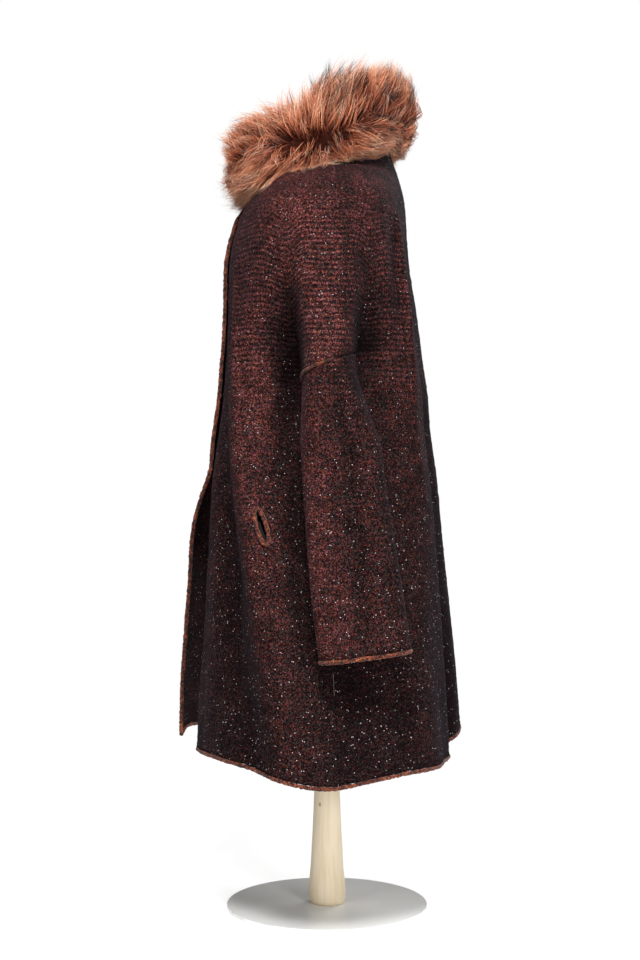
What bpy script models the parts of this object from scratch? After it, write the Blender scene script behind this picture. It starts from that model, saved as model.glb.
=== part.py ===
"""A wool coat with a fur collar, worn by a limbless dress form on a wooden post.

Metres, +Z up. The coat's front faces -Y and its left side faces +X. The origin is the middle of the
base plate's underside. The coat is cut as two fronts, a back and two sleeves; every wall is one cloth
thick and hollow behind. Its form comes from level sections round the middle axis: an angle of 0 is the
centre front, 90 the side and 180 the centre back, the same on the left and on the right.
"""
import math

import bmesh
import bpy
import numpy as np
from mathutils import Vector

LEFT, RIGHT = 1, -1
SIDE_NAMES = {LEFT: "left", RIGHT: "right"}

# Clearances and thicknesses
GAP = 0.0003
CLOTH = 0.003
POCKET_CLOTH = 0.0018
EDGE_ROLL = 0.0026
SEAM_HALF_GAP = 0.0003
SLEEVE_HEAD_GAP = 0.0014
ROLL_CLEAR = 0.00045
RIM_CLEAR = 0.0005
FORM_CLEAR = 0.0012
COLLAR_RISE = 0.0025
COLLAR_OUT = 0.0125

# The stand
PLATE_RADIUS = 0.15
PLATE_THICK = 0.006
PLATE_BEVEL = 0.0015
FORM_BOTTOM = 0.436

# The post's radius at heights above its foot
POST_COLUMNS = ("height", "radius")
POST_ROWS = (
    (0.000, 0.0262),
    (0.004, 0.0268),
    (0.060, 0.0242),
    (0.120, 0.0211),
    (0.180, 0.0188),
    (0.260, 0.0174),
    (0.429, 0.0165),
)

# The coat above the armholes: outer sizes at each level, and how deep the folds in front of
# and behind the empty sleeve head go in
YOKE_COLUMNS = ("height", "half_width", "front", "back", "front_valley", "back_valley")
YOKE_ROWS = (
    (1.130, 0.074, 0.0780, 0.0940, 0.000, 0.000),
    (1.110, 0.096, 0.0865, 0.0995, 0.000, 0.000),
    (1.090, 0.130, 0.0940, 0.1055, 0.000, 0.000),
    (1.070, 0.170, 0.1015, 0.1105, 0.000, 0.000),
    (1.050, 0.203, 0.1105, 0.1145, 0.000, 0.000),
    (1.030, 0.221, 0.1255, 0.1165, 0.000, 0.001),
    (1.000, 0.235, 0.1365, 0.1180, 0.000, 0.004),
    (0.960, 0.246, 0.1445, 0.1210, 0.003, 0.010),
    (0.920, 0.255, 0.1460, 0.1250, 0.015, 0.022),
    (0.880, 0.262, 0.1470, 0.1300, 0.040, 0.044),
    (0.840, 0.268, 0.1485, 0.1345, 0.072, 0.070),
    (0.800, 0.273, 0.1510, 0.1390, 0.096, 0.090),
    (0.770, 0.276, 0.1530, 0.1440, 0.106, 0.098),
)
YOKE_SQUARENESS = 2.3
VALLEY_TO_SLEEVE = 5.5
VALLEY_TO_BODY = 10.5

# The coat below the armholes
SKIRT_COLUMNS = ("height", "half_width", "front", "back", "squareness")
SKIRT_ROWS = (
    (0.820, 0.176, 0.1500, 0.1370, 3.4),
    (0.770, 0.184, 0.1530, 0.1440, 3.4),
    (0.700, 0.195, 0.1610, 0.1500, 3.2),
    (0.640, 0.204, 0.1690, 0.1600, 3.0),
    (0.580, 0.213, 0.1725, 0.1680, 2.8),
    (0.490, 0.227, 0.1760, 0.1780, 2.6),
    (0.400, 0.243, 0.1830, 0.1880, 2.4),
    (0.340, 0.255, 0.1880, 0.1940, 2.3),
    (0.230, 0.280, 0.1940, 0.2020, 2.2),
)
ARMHOLE_FADE = 0.16
LOWEST_SHOULDER = 0.9

# How far the right front stands forward of the left at the overlap, and where their edges lie
LAP_COLUMNS = ("height", "lap", "right_edge", "left_edge")
LAP_ROWS = (
    (1.080, 0.0070, -7.0, 3.0),
    (1.000, 0.0075, -8.0, -3.0),
    (0.880, 0.0070, -8.0, -3.0),
    (0.780, 0.0085, -8.0, -3.0),
    (0.700, 0.0095, -8.0, -3.0),
    (0.644, 0.0090, -7.0, -3.0),
    (0.620, 0.0160, -5.0, -2.0),
    (0.587, 0.0250, -3.5, 0.0),
    (0.545, 0.0300, -2.0, 1.0),
    (0.486, 0.0310, -1.0, 2.0),
    (0.400, 0.0310, -1.0, 3.0),
    (0.340, 0.0300, -1.0, 3.0),
    (0.230, 0.0260, -1.0, 3.0),
)
LAP_FLAT = 9.0
LAP_END = 44.0

# Angles of the seams, and the heights of the free edges round the coat
SEAM_COLUMNS = ("height", "seam")
SEAM_ROWS = ((1.13, 93.0), (1.03, 94.5), (0.86, 96.0), (0.80, 95.0), (0.50, 91.5), (0.23, 93.0))
SEAM_GUESS = 94.0
FRONT_VALLEY_ANGLE = 76.5
BACK_VALLEY_ANGLE = 104.0
EDGE_COLUMNS = ("angle", "neck", "armhole", "hem")
EDGE_ROWS = (
    (-10.0, 1.066, 0.777, 0.2415),
    (0.0, 1.068, 0.777, 0.2415),
    (30.0, 1.088, 0.777, 0.254),
    (45.0, 1.0965, 0.777, 0.257),
    (60.0, 1.104, 0.777, 0.253),
    (76.5, 1.110, 0.777, 0.2405),
    (90.0, 1.114, 0.798, 0.2325),
    (104.0, 1.118, 0.818, 0.241),
    (120.0, 1.122, 0.818, 0.245),
    (150.0, 1.128, 0.818, 0.2465),
    (180.0, 1.130, 0.818, 0.279),
)
RIGHT_HEM_RISE = 0.020

# Long soft folds of the skirt: the angle runs from the armhole to the hem, depths are outward
FOLD_COLUMNS = ("high_angle", "low_angle", "spread", "at_armhole", "half_way", "at_hem")
FOLD_ROWS = (
    (22.0, 38.0, 10.0, 0.000, 0.005, 0.004),
    (37.0, 66.0, 8.0, -0.005, -0.021, -0.013),
    (49.0, 82.0, 8.5, 0.007, 0.024, 0.006),
    (76.5, 98.0, 8.5, -0.004, -0.022, -0.002),
    (112.0, 114.0, 9.0, -0.002, -0.008, -0.009),
    (128.0, 141.0, 9.0, 0.003, -0.003, -0.015),
    (147.0, 159.0, 9.0, 0.000, -0.015, -0.028),
)
RIGHT_FOLD_SHIFT = 3.0
RIGHT_FOLD_SCALE = 0.85

# The sleeves below the sleeve head
SLEEVE_COLUMNS = ("height", "out", "back", "half_thick", "half_wide")
SLEEVE_ROWS = (
    (0.800, 0.226, 0.006, 0.0370, 0.0450),
    (0.740, 0.232, 0.011, 0.0350, 0.0500),
    (0.680, 0.239, 0.017, 0.0335, 0.0528),
    (0.580, 0.252, 0.0275, 0.0315, 0.0568),
    (0.490, 0.266, 0.038, 0.0305, 0.0604),
    (0.395, 0.281, 0.051, 0.0295, 0.0615),
)
SLEEVE_BLEND = 0.13
SLEEVE_START = 2.3
CUFF_FRONT = 0.400
CUFF_BACK = 0.416
SLEEVE_SQUARENESS = 2.4
SLEEVE_BULGE = 0.6

# The pocket mouths: a slanted slit, and the bag behind it
MOUTH_INNER_ANGLE = 65.0
MOUTH_OUTER_ANGLE = 69.8
MOUTH_INNER_HEIGHT = 0.595
MOUTH_OUTER_HEIGHT = 0.556
MOUTH_HALF_OPEN = 0.0125
MOUTH_RIM_PAST = 0.03
RIM_OVER_EDGE = 0.6
CUTTER_REACH = 0.02
BAG_DEPTH = 0.13
BAG_BEHIND = {LEFT: 0.0175, RIGHT: 0.0187}
BAG_HALF_OPEN = 0.009
BAG_LIP_INSIDE = 0.004
BAG_LIP_OUTSIDE = -0.009
BAG_WIDENS = 3.6
BAG_FLATTENS = 0.4

# The collar's roll: the middle of its section at each angle, and the section's half sizes
COLLAR_COLUMNS = ("angle", "reach", "height", "half_across", "half_tall")
COLLAR_ROWS = (
    (3.0, 0.117, 1.105, 0.053, 0.056),
    (40.0, 0.131, 1.112, 0.057, 0.066),
    (66.0, 0.138, 1.120, 0.063, 0.076),
    (90.0, 0.130, 1.150, 0.060, 0.080),
    (135.0, 0.112, 1.180, 0.051, 0.072),
    (180.0, 0.098, 1.190, 0.044, 0.064),
)
COLLAR_END_ANGLE = 2.5
COLLAR_END_STEP = 3.5
COLLAR_END_SIZES = (0.45, 0.8, 1.0)

# The dress form, smooth and without limbs
FORM_COLUMNS = ("height", "half_width", "front", "back")
FORM_ROWS = (
    (1.182, 0.022, 0.024, 0.016),
    (1.176, 0.036, 0.040, 0.030),
    (1.164, 0.043, 0.048, 0.037),
    (1.140, 0.045, 0.050, 0.040),
    (1.116, 0.050, 0.052, 0.045),
    (1.106, 0.066, 0.052, 0.053),
    (1.096, 0.104, 0.055, 0.064),
    (1.082, 0.146, 0.060, 0.078),
    (1.070, 0.170, 0.067, 0.088),
    (1.050, 0.186, 0.083, 0.097),
    (1.020, 0.190, 0.105, 0.101),
    (0.980, 0.184, 0.119, 0.104),
    (0.920, 0.168, 0.128, 0.104),
    (0.860, 0.150, 0.125, 0.099),
    (0.790, 0.134, 0.110, 0.091),
    (0.730, 0.127, 0.100, 0.088),
    (0.670, 0.136, 0.104, 0.098),
    (0.600, 0.154, 0.112, 0.112),
    (0.530, 0.165, 0.114, 0.120),
    (0.470, 0.164, 0.110, 0.116),
    (0.446, 0.156, 0.104, 0.108),
    (0.436, 0.140, 0.092, 0.096),
)
FORM_SQUARENESS = 2.15
NECK_MARGIN = 0.002
NUDGE = 0.002

# How finely the pieces are divided
YOKE_STEPS = (1.0, 0.955, 0.91, 0.865, 0.82, 0.76, 0.68, 0.58, 0.47, 0.36, 0.24, 0.12, 0.0)
SKIRT_STEPS = (1.0, 0.92, 0.84, 0.76, 0.7, 0.645, 0.58, 0.5, 0.41, 0.31, 0.2, 0.1, 0.0)
FRONT_COLUMNS = 12
SLEEVE_HEAD_COLUMNS = 5
BACK_COLUMNS = 12
SLEEVE_OUTER_STEPS = 11
SLEEVE_INNER_STEPS = 7
SLEEVE_LEVELS = 10
MOUTH_CUT_POINTS = 16
MOUTH_RIM_POINTS = 18
BAG_SIDES = 18
BAG_LEVELS = 4
COLLAR_SIDES = 16
COLLAR_RINGS = 13
FORM_SIDES = 30
POST_SIDES = 20
PLATE_SIDES = 36
SEARCH_ROUNDS = 30


def table(columns, rows):
    """The table's columns by name, sorted by the first one."""
    values = np.array(sorted(rows), float).T
    return dict(zip(columns, values))


YOKE = table(YOKE_COLUMNS, YOKE_ROWS)
SKIRT = table(SKIRT_COLUMNS, SKIRT_ROWS)
LAP = table(LAP_COLUMNS, LAP_ROWS)
SEAM = table(SEAM_COLUMNS, SEAM_ROWS)
EDGES = table(EDGE_COLUMNS, EDGE_ROWS)
SLEEVE = table(SLEEVE_COLUMNS, SLEEVE_ROWS)
COLLAR = table(COLLAR_COLUMNS, COLLAR_ROWS)
FORM = table(FORM_COLUMNS, FORM_ROWS)
POST = table(POST_COLUMNS, POST_ROWS)


def read(rows, column, at):
    """The column's value at a place between rows, on a smooth curve through them."""
    x, y = next(iter(rows.values())), rows[column]
    at = min(max(at, x[0]), x[-1])
    i = min(int(np.searchsorted(x, at, side="right")) - 1, len(x) - 2)
    slopes = np.gradient(y, x)
    step = x[i + 1] - x[i]
    t = (at - x[i]) / step
    rise = t * t * (3 - 2 * t)
    return float(
        y[i] * (1 - rise)
        + y[i + 1] * rise
        + step * slopes[i] * t * (1 - t) ** 2
        + step * slopes[i + 1] * t * t * (t - 1)
    )


def ease(t):
    """0 to 1, with level ends."""
    t = min(max(t, 0.0), 1.0)
    return t * t * (3 - 2 * t)


def oval(angle, half_width, front, back, squareness):
    """Distance from the axis of a rounded oval at an angle from the centre front."""
    across, along = math.sin(math.radians(angle)), math.cos(math.radians(angle))
    depth = front if along > 0 else back
    total = abs(across / half_width) ** squareness + abs(along / depth) ** squareness
    return total ** (-1 / squareness)


def valley(angle, middle, towards_sleeve, depth):
    """The dip of the fold beside the sleeve head, steeper on the sleeve's side."""
    away = (angle - middle) * towards_sleeve
    spread = VALLEY_TO_SLEEVE if away > 0 else VALLEY_TO_BODY
    return depth * math.exp(-((away / spread) ** 2))


def yoke_radius(angle, height):
    """The coat's outer distance from the axis, above the armholes."""
    size = [read(YOKE, name, height) for name in YOKE_COLUMNS[1:]]
    dip = valley(angle, FRONT_VALLEY_ANGLE, 1, size[3])
    dip += valley(angle, BACK_VALLEY_ANGLE, -1, size[4])
    return oval(angle, *size[:3], YOKE_SQUARENESS) - dip


def folds(angle, height, side):
    """How far the skirt's long folds stand out at a place."""
    top, low = read(EDGES, "armhole", 0), read(EDGES, "hem", 0)
    down = min(max((top - height) / (top - low), 0.0), 1.0)
    total = 0.0
    for high_angle, low_angle, spread, *depths in FOLD_ROWS:
        middle = high_angle + (low_angle - high_angle) * down
        depth = read(table(("down", "depth"), zip((0.0, 0.5, 1.0), depths)), "depth", down)
        if side == RIGHT:
            middle, depth = middle + RIGHT_FOLD_SHIFT, depth * RIGHT_FOLD_SCALE
        total += depth * math.exp(-(((angle - middle) / spread) ** 2))
    return total


def plain_skirt_radius(angle, height):
    """The skirt's section without folds."""
    size = [read(SKIRT, name, height) for name in SKIRT_COLUMNS[1:]]
    return oval(angle, *size)


def skirt_radius(angle, height, side):
    """The coat's outer distance from the axis, below the armholes."""
    held = min(max(angle, -90.0), FRONT_VALLEY_ANGLE) if angle < 90 else max(angle, BACK_VALLEY_ANGLE)
    level = read(EDGES, "armhole", held)
    change = yoke_radius(held, level) - plain_skirt_radius(held, level)
    change -= folds(held, level, side)
    if held != angle:
        change *= 1 - ease(abs(angle - held) / abs(90 - held))
    fading = 1 - ease((level - height) / ARMHOLE_FADE)
    return plain_skirt_radius(angle, height) + folds(angle, height, side) + change * fading


def lap(angle, height, side):
    """How far the right front stands forward over the left."""
    if side == LEFT or angle > LAP_END:
        return 0.0
    return read(LAP, "lap", height) * (1 - ease((angle - LAP_FLAT) / (LAP_END - LAP_FLAT)))


def place(side, angle, distance, height):
    """The point at an angle and distance from the axis, on the left or on the right."""
    turn = math.radians(angle)
    return Vector((side * distance * math.sin(turn), -distance * math.cos(turn), height))


def coat_point(side, angle, height, below, inward=0.0):
    """A point of the coat's outer face, or that far behind it."""
    distance = skirt_radius(angle, height, side) if below else yoke_radius(angle, height)
    return place(side, angle, distance + lap(angle, height, side) - inward, height)


def level_at(angle, step, below, side=LEFT):
    """The height of a row of points: rows spread evenly between the free edges."""
    low = read(EDGES, "hem" if below else "armhole", angle)
    high = read(EDGES, "armhole" if below else "neck", angle)
    if below and side == RIGHT:
        low += RIGHT_HEM_RISE * (1 - ease((angle - LAP_FLAT) / (LAP_END - LAP_FLAT)))
    return low + (high - low) * step


def angles_between(first, last, count):
    """Evenly spaced angles, both ends included."""
    return [first + (last - first) * i / count for i in range(count + 1)]


def front_angle(side, column, step, below):
    """The angle of a front's column, from its free edge round to the seam."""
    guess = level_at(SEAM_GUESS, step, below)
    edge = read(LAP, "right_edge" if side == RIGHT else "left_edge", guess)
    if column <= FRONT_COLUMNS:
        return edge + (FRONT_VALLEY_ANGLE - edge) * column / FRONT_COLUMNS
    seam = read(SEAM, "seam", guess) - seam_allow(guess, below, side)
    share = (column - FRONT_COLUMNS) / SLEEVE_HEAD_COLUMNS
    return FRONT_VALLEY_ANGLE + (seam - FRONT_VALLEY_ANGLE) * share


def back_angle(side, column, step, below):
    """The angle of a back's column, from the side seam round to the centre back."""
    guess = level_at(SEAM_GUESS, step, below)
    seam = read(SEAM, "seam", guess) + seam_allow(guess, below, side)
    if column <= SLEEVE_HEAD_COLUMNS:
        return seam + (BACK_VALLEY_ANGLE - seam) * column / SLEEVE_HEAD_COLUMNS
    share = (column - SLEEVE_HEAD_COLUMNS) / BACK_COLUMNS
    return BACK_VALLEY_ANGLE + (180 - BACK_VALLEY_ANGLE) * share


def seam_allow(height, below, side):
    """Half the seam's gap, as an angle."""
    radius = skirt_radius(90, height, side) if below else yoke_radius(90, height)
    return math.degrees(SEAM_HALF_GAP / radius)


def coat_normal(side, angle, step, below):
    """The outward direction of the coat's face."""
    turn, rise = 0.5, 0.01
    places = [(angle - turn, step), (angle + turn, step)]
    places += [(angle, max(step - rise, 0.0)), (angle, min(step + rise, 1.0))]
    before, after, low, high = (coat_point(side, a, level_at(a, s, below, side), below) for a, s in places)
    return ((after - before).cross(high - low) * side).normalized()


def panel(name, upper, lower, split):
    """A panel of cloth from rows of (outer point, normal). Past the split columns its upper and lower
    rows part at the armhole, and elsewhere they share the armhole's row."""
    mesh = bmesh.new()
    behind = {}

    def corner(point, normal):
        made = mesh.verts.new(point)
        behind[made] = point - normal.normalized() * CLOTH
        return made

    meeting = [
        (high[0], high[1] if parted else high[1] + low[1])
        for high, low, parted in zip(upper[-1], lower[0], split)
    ]
    above = [[corner(*spot) for spot in row] for row in upper[:-1] + [meeting]]
    shared = [corner(*lower[0][i]) if parted else above[-1][i] for i, parted in enumerate(split)]
    below = [shared] + [[corner(*spot) for spot in row] for row in lower[1:]]
    for rows in (above, below):
        for high, low in zip(rows, rows[1:]):
            for i in range(len(high) - 1):
                mesh.faces.new((high[i], low[i], low[i + 1], high[i + 1]))
    thicken(mesh, behind)
    return add_mesh(name, mesh)


def thicken(mesh, behind):
    """Backs an open sheet with a second face at the given places, and closes its rim."""
    outer = list(mesh.faces)
    rims = [loop for face in outer for loop in face.loops if len(loop.edge.link_faces) == 1]
    rims = [(loop.vert, loop.link_loop_next.vert) for loop in rims]
    twins = {vert: mesh.verts.new(place) for vert, place in behind.items()}
    for face in outer:
        mesh.faces.new([twins[vert] for vert in reversed(face.verts)])
    for one, two in rims:
        mesh.faces.new((two, one, twins[one], twins[two]))
    bmesh.ops.recalc_face_normals(mesh, faces=mesh.faces)


def add(name, data, collection=None):
    """Puts new data in the part's collection, or in another one, as a named object."""
    thing = bpy.data.objects.new(name, data)
    (collection or PARTS).objects.link(thing)
    return thing


def add_mesh(name, mesh, collection=None):
    """Makes a named object of a mesh that is being built."""
    data = bpy.data.meshes.new(name)
    mesh.to_mesh(data)
    mesh.free()
    return add(name, data, collection)


def join_rings(mesh, rings):
    """Faces between closed rings that follow one another."""
    for one, two in zip(rings, rings[1:]):
        for i in range(len(one)):
            j = (i + 1) % len(one)
            mesh.faces.new((one[i], two[i], two[j], one[j]))


def fill_ring(mesh, ring):
    """Closes a flat ring with strips that run across it."""
    for i in range(len(ring) // 2):
        corners = [ring[i], ring[i + 1], ring[(-i - 1) % len(ring)], ring[-i % len(ring)]]
        mesh.faces.new([v for k, v in enumerate(corners) if v not in corners[:k]])


def add_wall(thing, thickness, offset):
    """Gives an open sheet its thickness."""
    wall = thing.modifiers.new("wall", "SOLIDIFY")
    wall.thickness = thickness
    wall.offset = offset
    wall.use_even_offset = False


def spot_at(side, angle, step, below):
    """A point of the coat's outer face, and its normal."""
    point = coat_point(side, angle, level_at(angle, step, below, side), below)
    return point, coat_normal(side, angle, step, below)


def front_rows(side):
    """The outer points and normals of a front: above the armhole, and below it."""
    count = FRONT_COLUMNS + SLEEVE_HEAD_COLUMNS + 1
    found = []
    for below, steps in ((False, YOKE_STEPS), (True, SKIRT_STEPS)):
        rows = []
        for step in steps:
            angles = [front_angle(side, i, step, below) for i in range(count)]
            rows.append([spot_at(side, a, step, below) for a in angles])
        found.append(rows)
    return found


def back_rows():
    """The back's outer points and normals, from the left side seam round to the right one."""
    count = SLEEVE_HEAD_COLUMNS + BACK_COLUMNS + 1
    found = []
    for below, steps in ((False, YOKE_STEPS), (True, SKIRT_STEPS)):
        rows = []
        for step in steps:
            row = []
            for side in (LEFT, RIGHT):
                angles = [back_angle(side, i, step, below) for i in range(count)]
                row.append([spot_at(side, a, step, below) for a in angles])
            middle = [(one + two) / 2 for one, two in zip(row[0][-1], row[1][-1])]
            rows.append(row[0][:-1] + [middle] + row[1][-2::-1])
        found.append(rows)
    return found


def make_front(side):
    """A front from its free edge round to the side seam, and the roll along its edge and hem."""
    upper, lower = front_rows(side)
    split = [i > FRONT_COLUMNS for i in range(len(upper[0]))]
    front = panel(f"front_{SIDE_NAMES[side]}", upper, lower, split)
    paint(front, WOOL)
    edge, inside = ([row[i][0] for row in upper + lower[1:]] for i in (0, 1))
    hem, above_hem = ([spot[0] for spot in row] for row in (lower[-1], lower[-2]))
    down_end = roll_path(edge[-2:], inside[-2:])[-1]
    hem_end = roll_path(hem[:2], above_hem[:2])[0]
    corner = down_end + hem_end - roll_path(edge[-2:], inside[-2:], past=0.0)[-1]
    path = roll_path(edge[:-1], inside[:-1]) + [corner] + roll_path(hem, above_hem)[1:]
    paint(roll(f"front_edging_{SIDE_NAMES[side]}", path), EDGING)
    return front


def roll_path(edge, inside, closed=False, past=EDGE_ROLL + ROLL_CLEAR):
    """The centreline of a thin roll just past an edge, level with the middle of the wall."""
    found = []
    last = len(edge) - 1
    for i, point in enumerate(edge):
        before = edge[i - 1] if closed or i else edge[0]
        after = edge[(i + 1) % len(edge)] if closed else edge[min(i + 1, last)]
        along = (after - before).normalized()
        away = point - inside[i]
        away = (away - along * away.dot(along)).normalized()
        normal = away.cross(along).normalized()
        centre = point - sum(edge, Vector()) / len(edge) if closed else Vector((point.x, point.y, 0))
        if normal.dot(centre) < 0:
            normal.negate()
        found.append(point - normal * CLOTH / 2 + away * past)
    return found


def roll(name, path, closed=False):
    """A thin round roll along a path."""
    curve = bpy.data.curves.new(name, "CURVE")
    curve.dimensions = "3D"
    curve.bevel_depth = EDGE_ROLL
    curve.bevel_resolution = 1
    curve.use_fill_caps = not closed
    curve.render_resolution_u = 0
    line = curve.splines.new("POLY")
    line.points.add(len(path) - 1)
    for point, spot in zip(line.points, path):
        point.co = (*spot, 1)
    line.use_cyclic_u = closed
    return add(name, curve)


def make_back():
    """The back and the roll along its hem."""
    upper, lower = back_rows()
    count = len(upper[0])
    split = [i < SLEEVE_HEAD_COLUMNS or i > count - 1 - SLEEVE_HEAD_COLUMNS for i in range(count)]
    paint(panel("back", upper, lower, split), WOOL)
    hem, above_hem = ([spot[0] for spot in row] for row in (lower[-1], lower[-2]))
    paint(roll("back_edging", roll_path(hem, above_hem)), EDGING)


def sleeve_top(side):
    """The sleeve's top ring: the sleeve head's lower edge outside, and straight across inside."""
    start, end = FRONT_VALLEY_ANGLE + SLEEVE_START, BACK_VALLEY_ANGLE - SLEEVE_START
    outer = []
    for angle in angles_between(start, end, SLEEVE_OUTER_STEPS):
        height = level_at(angle, 0, False)
        outer.append(coat_point(side, angle, height, False) - Vector((0, 0, SLEEVE_HEAD_GAP)))
    inner = []
    for i in range(1, SLEEVE_INNER_STEPS):
        share = i / SLEEVE_INNER_STEPS
        point = outer[-1].lerp(outer[0], share)
        wall = skirt_radius(90, point.z, side) + CLOTH
        bulge = math.sin(math.pi * share)
        point.x += side * (wall - abs(point.x)) * bulge * SLEEVE_BULGE
        inner.append(point)
    return outer + inner


def sleeve_ring(side, height):
    """A ring of the hanging sleeve in step with the top ring, as (x, y, share from front to back)."""
    out, back, thick, wide = (read(SLEEVE, name, height) for name in SLEEVE_COLUMNS[1:])
    turns = [math.pi * i / SLEEVE_OUTER_STEPS for i in range(SLEEVE_OUTER_STEPS + 1)]
    turns += [math.pi * (1 + i / SLEEVE_INNER_STEPS) for i in range(1, SLEEVE_INNER_STEPS)]
    ring = []
    for turn in turns:
        along, across = -math.cos(turn), math.sin(turn)
        total = abs(along) ** SLEEVE_SQUARENESS + abs(across) ** SLEEVE_SQUARENESS
        size = total ** (-1 / SLEEVE_SQUARENESS)
        y = back + along * size * wide
        slope = (y - back + wide) / (2 * wide)
        ring.append((side * (out + across * size * thick), y, slope))
    return ring


def make_sleeve(side):
    """A hanging sleeve, open at both ends, and the roll round its cuff."""
    top = sleeve_top(side)
    highest, lowest = sum(p.z for p in top) / len(top), (CUFF_FRONT + CUFF_BACK) / 2
    rows = [top]
    for i in range(1, SLEEVE_LEVELS + 1):
        share = i / SLEEVE_LEVELS
        height = highest + (lowest - highest) * share
        blend = ease((highest - height) / SLEEVE_BLEND)
        row = []
        for (x, y, slope), start in zip(sleeve_ring(side, height), top):
            low = CUFF_FRONT + (CUFF_BACK - CUFF_FRONT) * slope
            z = start.z + (low - start.z) * share
            swing = side * (read(SLEEVE, "out", height) - SLEEVE["out"][-1])
            row.append(Vector((start.x + swing, start.y, z)).lerp(Vector((x, y, z)), blend))
        rows.append(row)
    name = f"sleeve_{SIDE_NAMES[side]}"
    mesh = bmesh.new()
    join_rings(mesh, [[mesh.verts.new(p) for p in row] for row in rows])
    if side == RIGHT:
        bmesh.ops.reverse_faces(mesh, faces=mesh.faces)
    sleeve = add_mesh(name, mesh)
    add_wall(sleeve, CLOTH, -1)
    paint(sleeve, WOOL)
    paint(roll(f"cuff_edging_{SIDE_NAMES[side]}", roll_path(rows[-1], rows[-2], True), True), EDGING)


def mouth_place(share, rise):
    """Angle and height of a point of the pocket mouth: share runs along it, rise is up from its line."""
    angle = MOUTH_INNER_ANGLE + (MOUTH_OUTER_ANGLE - MOUTH_INNER_ANGLE) * share
    return angle, MOUTH_INNER_HEIGHT + (MOUTH_OUTER_HEIGHT - MOUTH_INNER_HEIGHT) * share + rise


def mouth_outline(count, half_open, past=0.0):
    """Places round the mouth's lens, as (share, rise)."""
    found = []
    for i in range(count):
        turn = 2 * math.pi * i / count
        found.append((0.5 - (0.5 + past) * math.cos(turn), half_open * math.sin(turn)))
    return found


def cut_mouth(front, side):
    """Cuts the pocket's mouth through the front, and lays its rolled rim on the cloth."""
    name = SIDE_NAMES[side]
    mesh = bmesh.new()
    places = [mouth_place(*spot) for spot in mouth_outline(MOUTH_CUT_POINTS, MOUTH_HALF_OPEN)]
    rings = []
    for depth in (-CUTTER_REACH, CUTTER_REACH):
        rings.append([mesh.verts.new(coat_point(side, *spot, True, depth)) for spot in places])
    join_rings(mesh, rings)
    for ring in rings:
        fill_ring(mesh, ring)
    bmesh.ops.recalc_face_normals(mesh, faces=mesh.faces)
    cutter = add_mesh(f"mouth_cutter_{name}", mesh, CUTTERS)
    cutter.hide_render = True
    cutter.display_type = "WIRE"
    cut = front.modifiers.new("mouth", "BOOLEAN")
    cut.operation = "DIFFERENCE"
    cut.object = cutter
    outline = mouth_outline(MOUTH_RIM_POINTS, MOUTH_HALF_OPEN + EDGE_ROLL * RIM_OVER_EDGE, MOUTH_RIM_PAST)
    lift = EDGE_ROLL + RIM_CLEAR
    path = [coat_point(side, *mouth_place(*spot), True, -lift) for spot in outline]
    paint(roll(f"pocket_rim_{name}", path, True), EDGING)


def make_bag(side):
    """The pocket's bag: a flat pouch behind the mouth, open at its slanted top."""
    mesh = bmesh.new()
    rows = []
    for k in range(BAG_LEVELS + 1):
        down = k / BAG_LEVELS
        row = []
        for i in range(BAG_SIDES):
            turn = 2 * math.pi * i / BAG_SIDES
            along, out = -0.5 * math.cos(turn), math.sin(turn)
            angle = mouth_place(0.5 + along * (1 + BAG_WIDENS * down), 0.0)[0]
            lip = (BAG_LIP_INSIDE if out < 0 else BAG_LIP_OUTSIDE) * abs(out)
            height = mouth_place(0.5 + along * (1 - down), lip * (1 - down))[1] - BAG_DEPTH * down
            behind = BAG_BEHIND[side] - BAG_HALF_OPEN * out * (1 - BAG_FLATTENS * down)
            row.append(mesh.verts.new(coat_point(side, angle, height, True, behind)))
        rows.append(row)
    join_rings(mesh, rows)
    fill_ring(mesh, rows[-1])
    bmesh.ops.recalc_face_normals(mesh, faces=mesh.faces)
    bag = add_mesh(f"pocket_bag_{SIDE_NAMES[side]}", mesh)
    add_wall(bag, POCKET_CLOTH, 0)
    paint(bag, POCKETING)


def coat_height_at(angle, distance):
    """The height of the coat's shoulder at a distance from the axis."""
    high = level_at(angle, 1.0, False)
    if distance <= yoke_radius(angle, high):
        return high
    low = LOWEST_SHOULDER
    if distance >= yoke_radius(angle, low):
        return low
    for _ in range(SEARCH_ROUNDS):
        middle = (low + high) / 2
        if yoke_radius(angle, middle) > distance:
            low = middle
        else:
            high = middle
    return high


def collar_section(side, angle, size):
    """A ring of the collar's roll, kept above the shoulder that it lies on."""
    reach, height, across, tall = (read(COLLAR, name, angle) for name in COLLAR_COLUMNS[1:])
    ring = []
    for i in range(COLLAR_SIDES):
        turn = 2 * math.pi * i / COLLAR_SIDES
        distance = reach + across * size * math.cos(turn)
        z = height + tall * size * math.sin(turn)
        front_lift = lap(angle, z, RIGHT) + (EDGE_ROLL if angle < 2 * LAP_FLAT else 0.0)
        floor = coat_height_at(angle, distance - front_lift - COLLAR_OUT)
        ring.append(place(side, angle, distance, max(z, floor + COLLAR_RISE)))
    return ring


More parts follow.
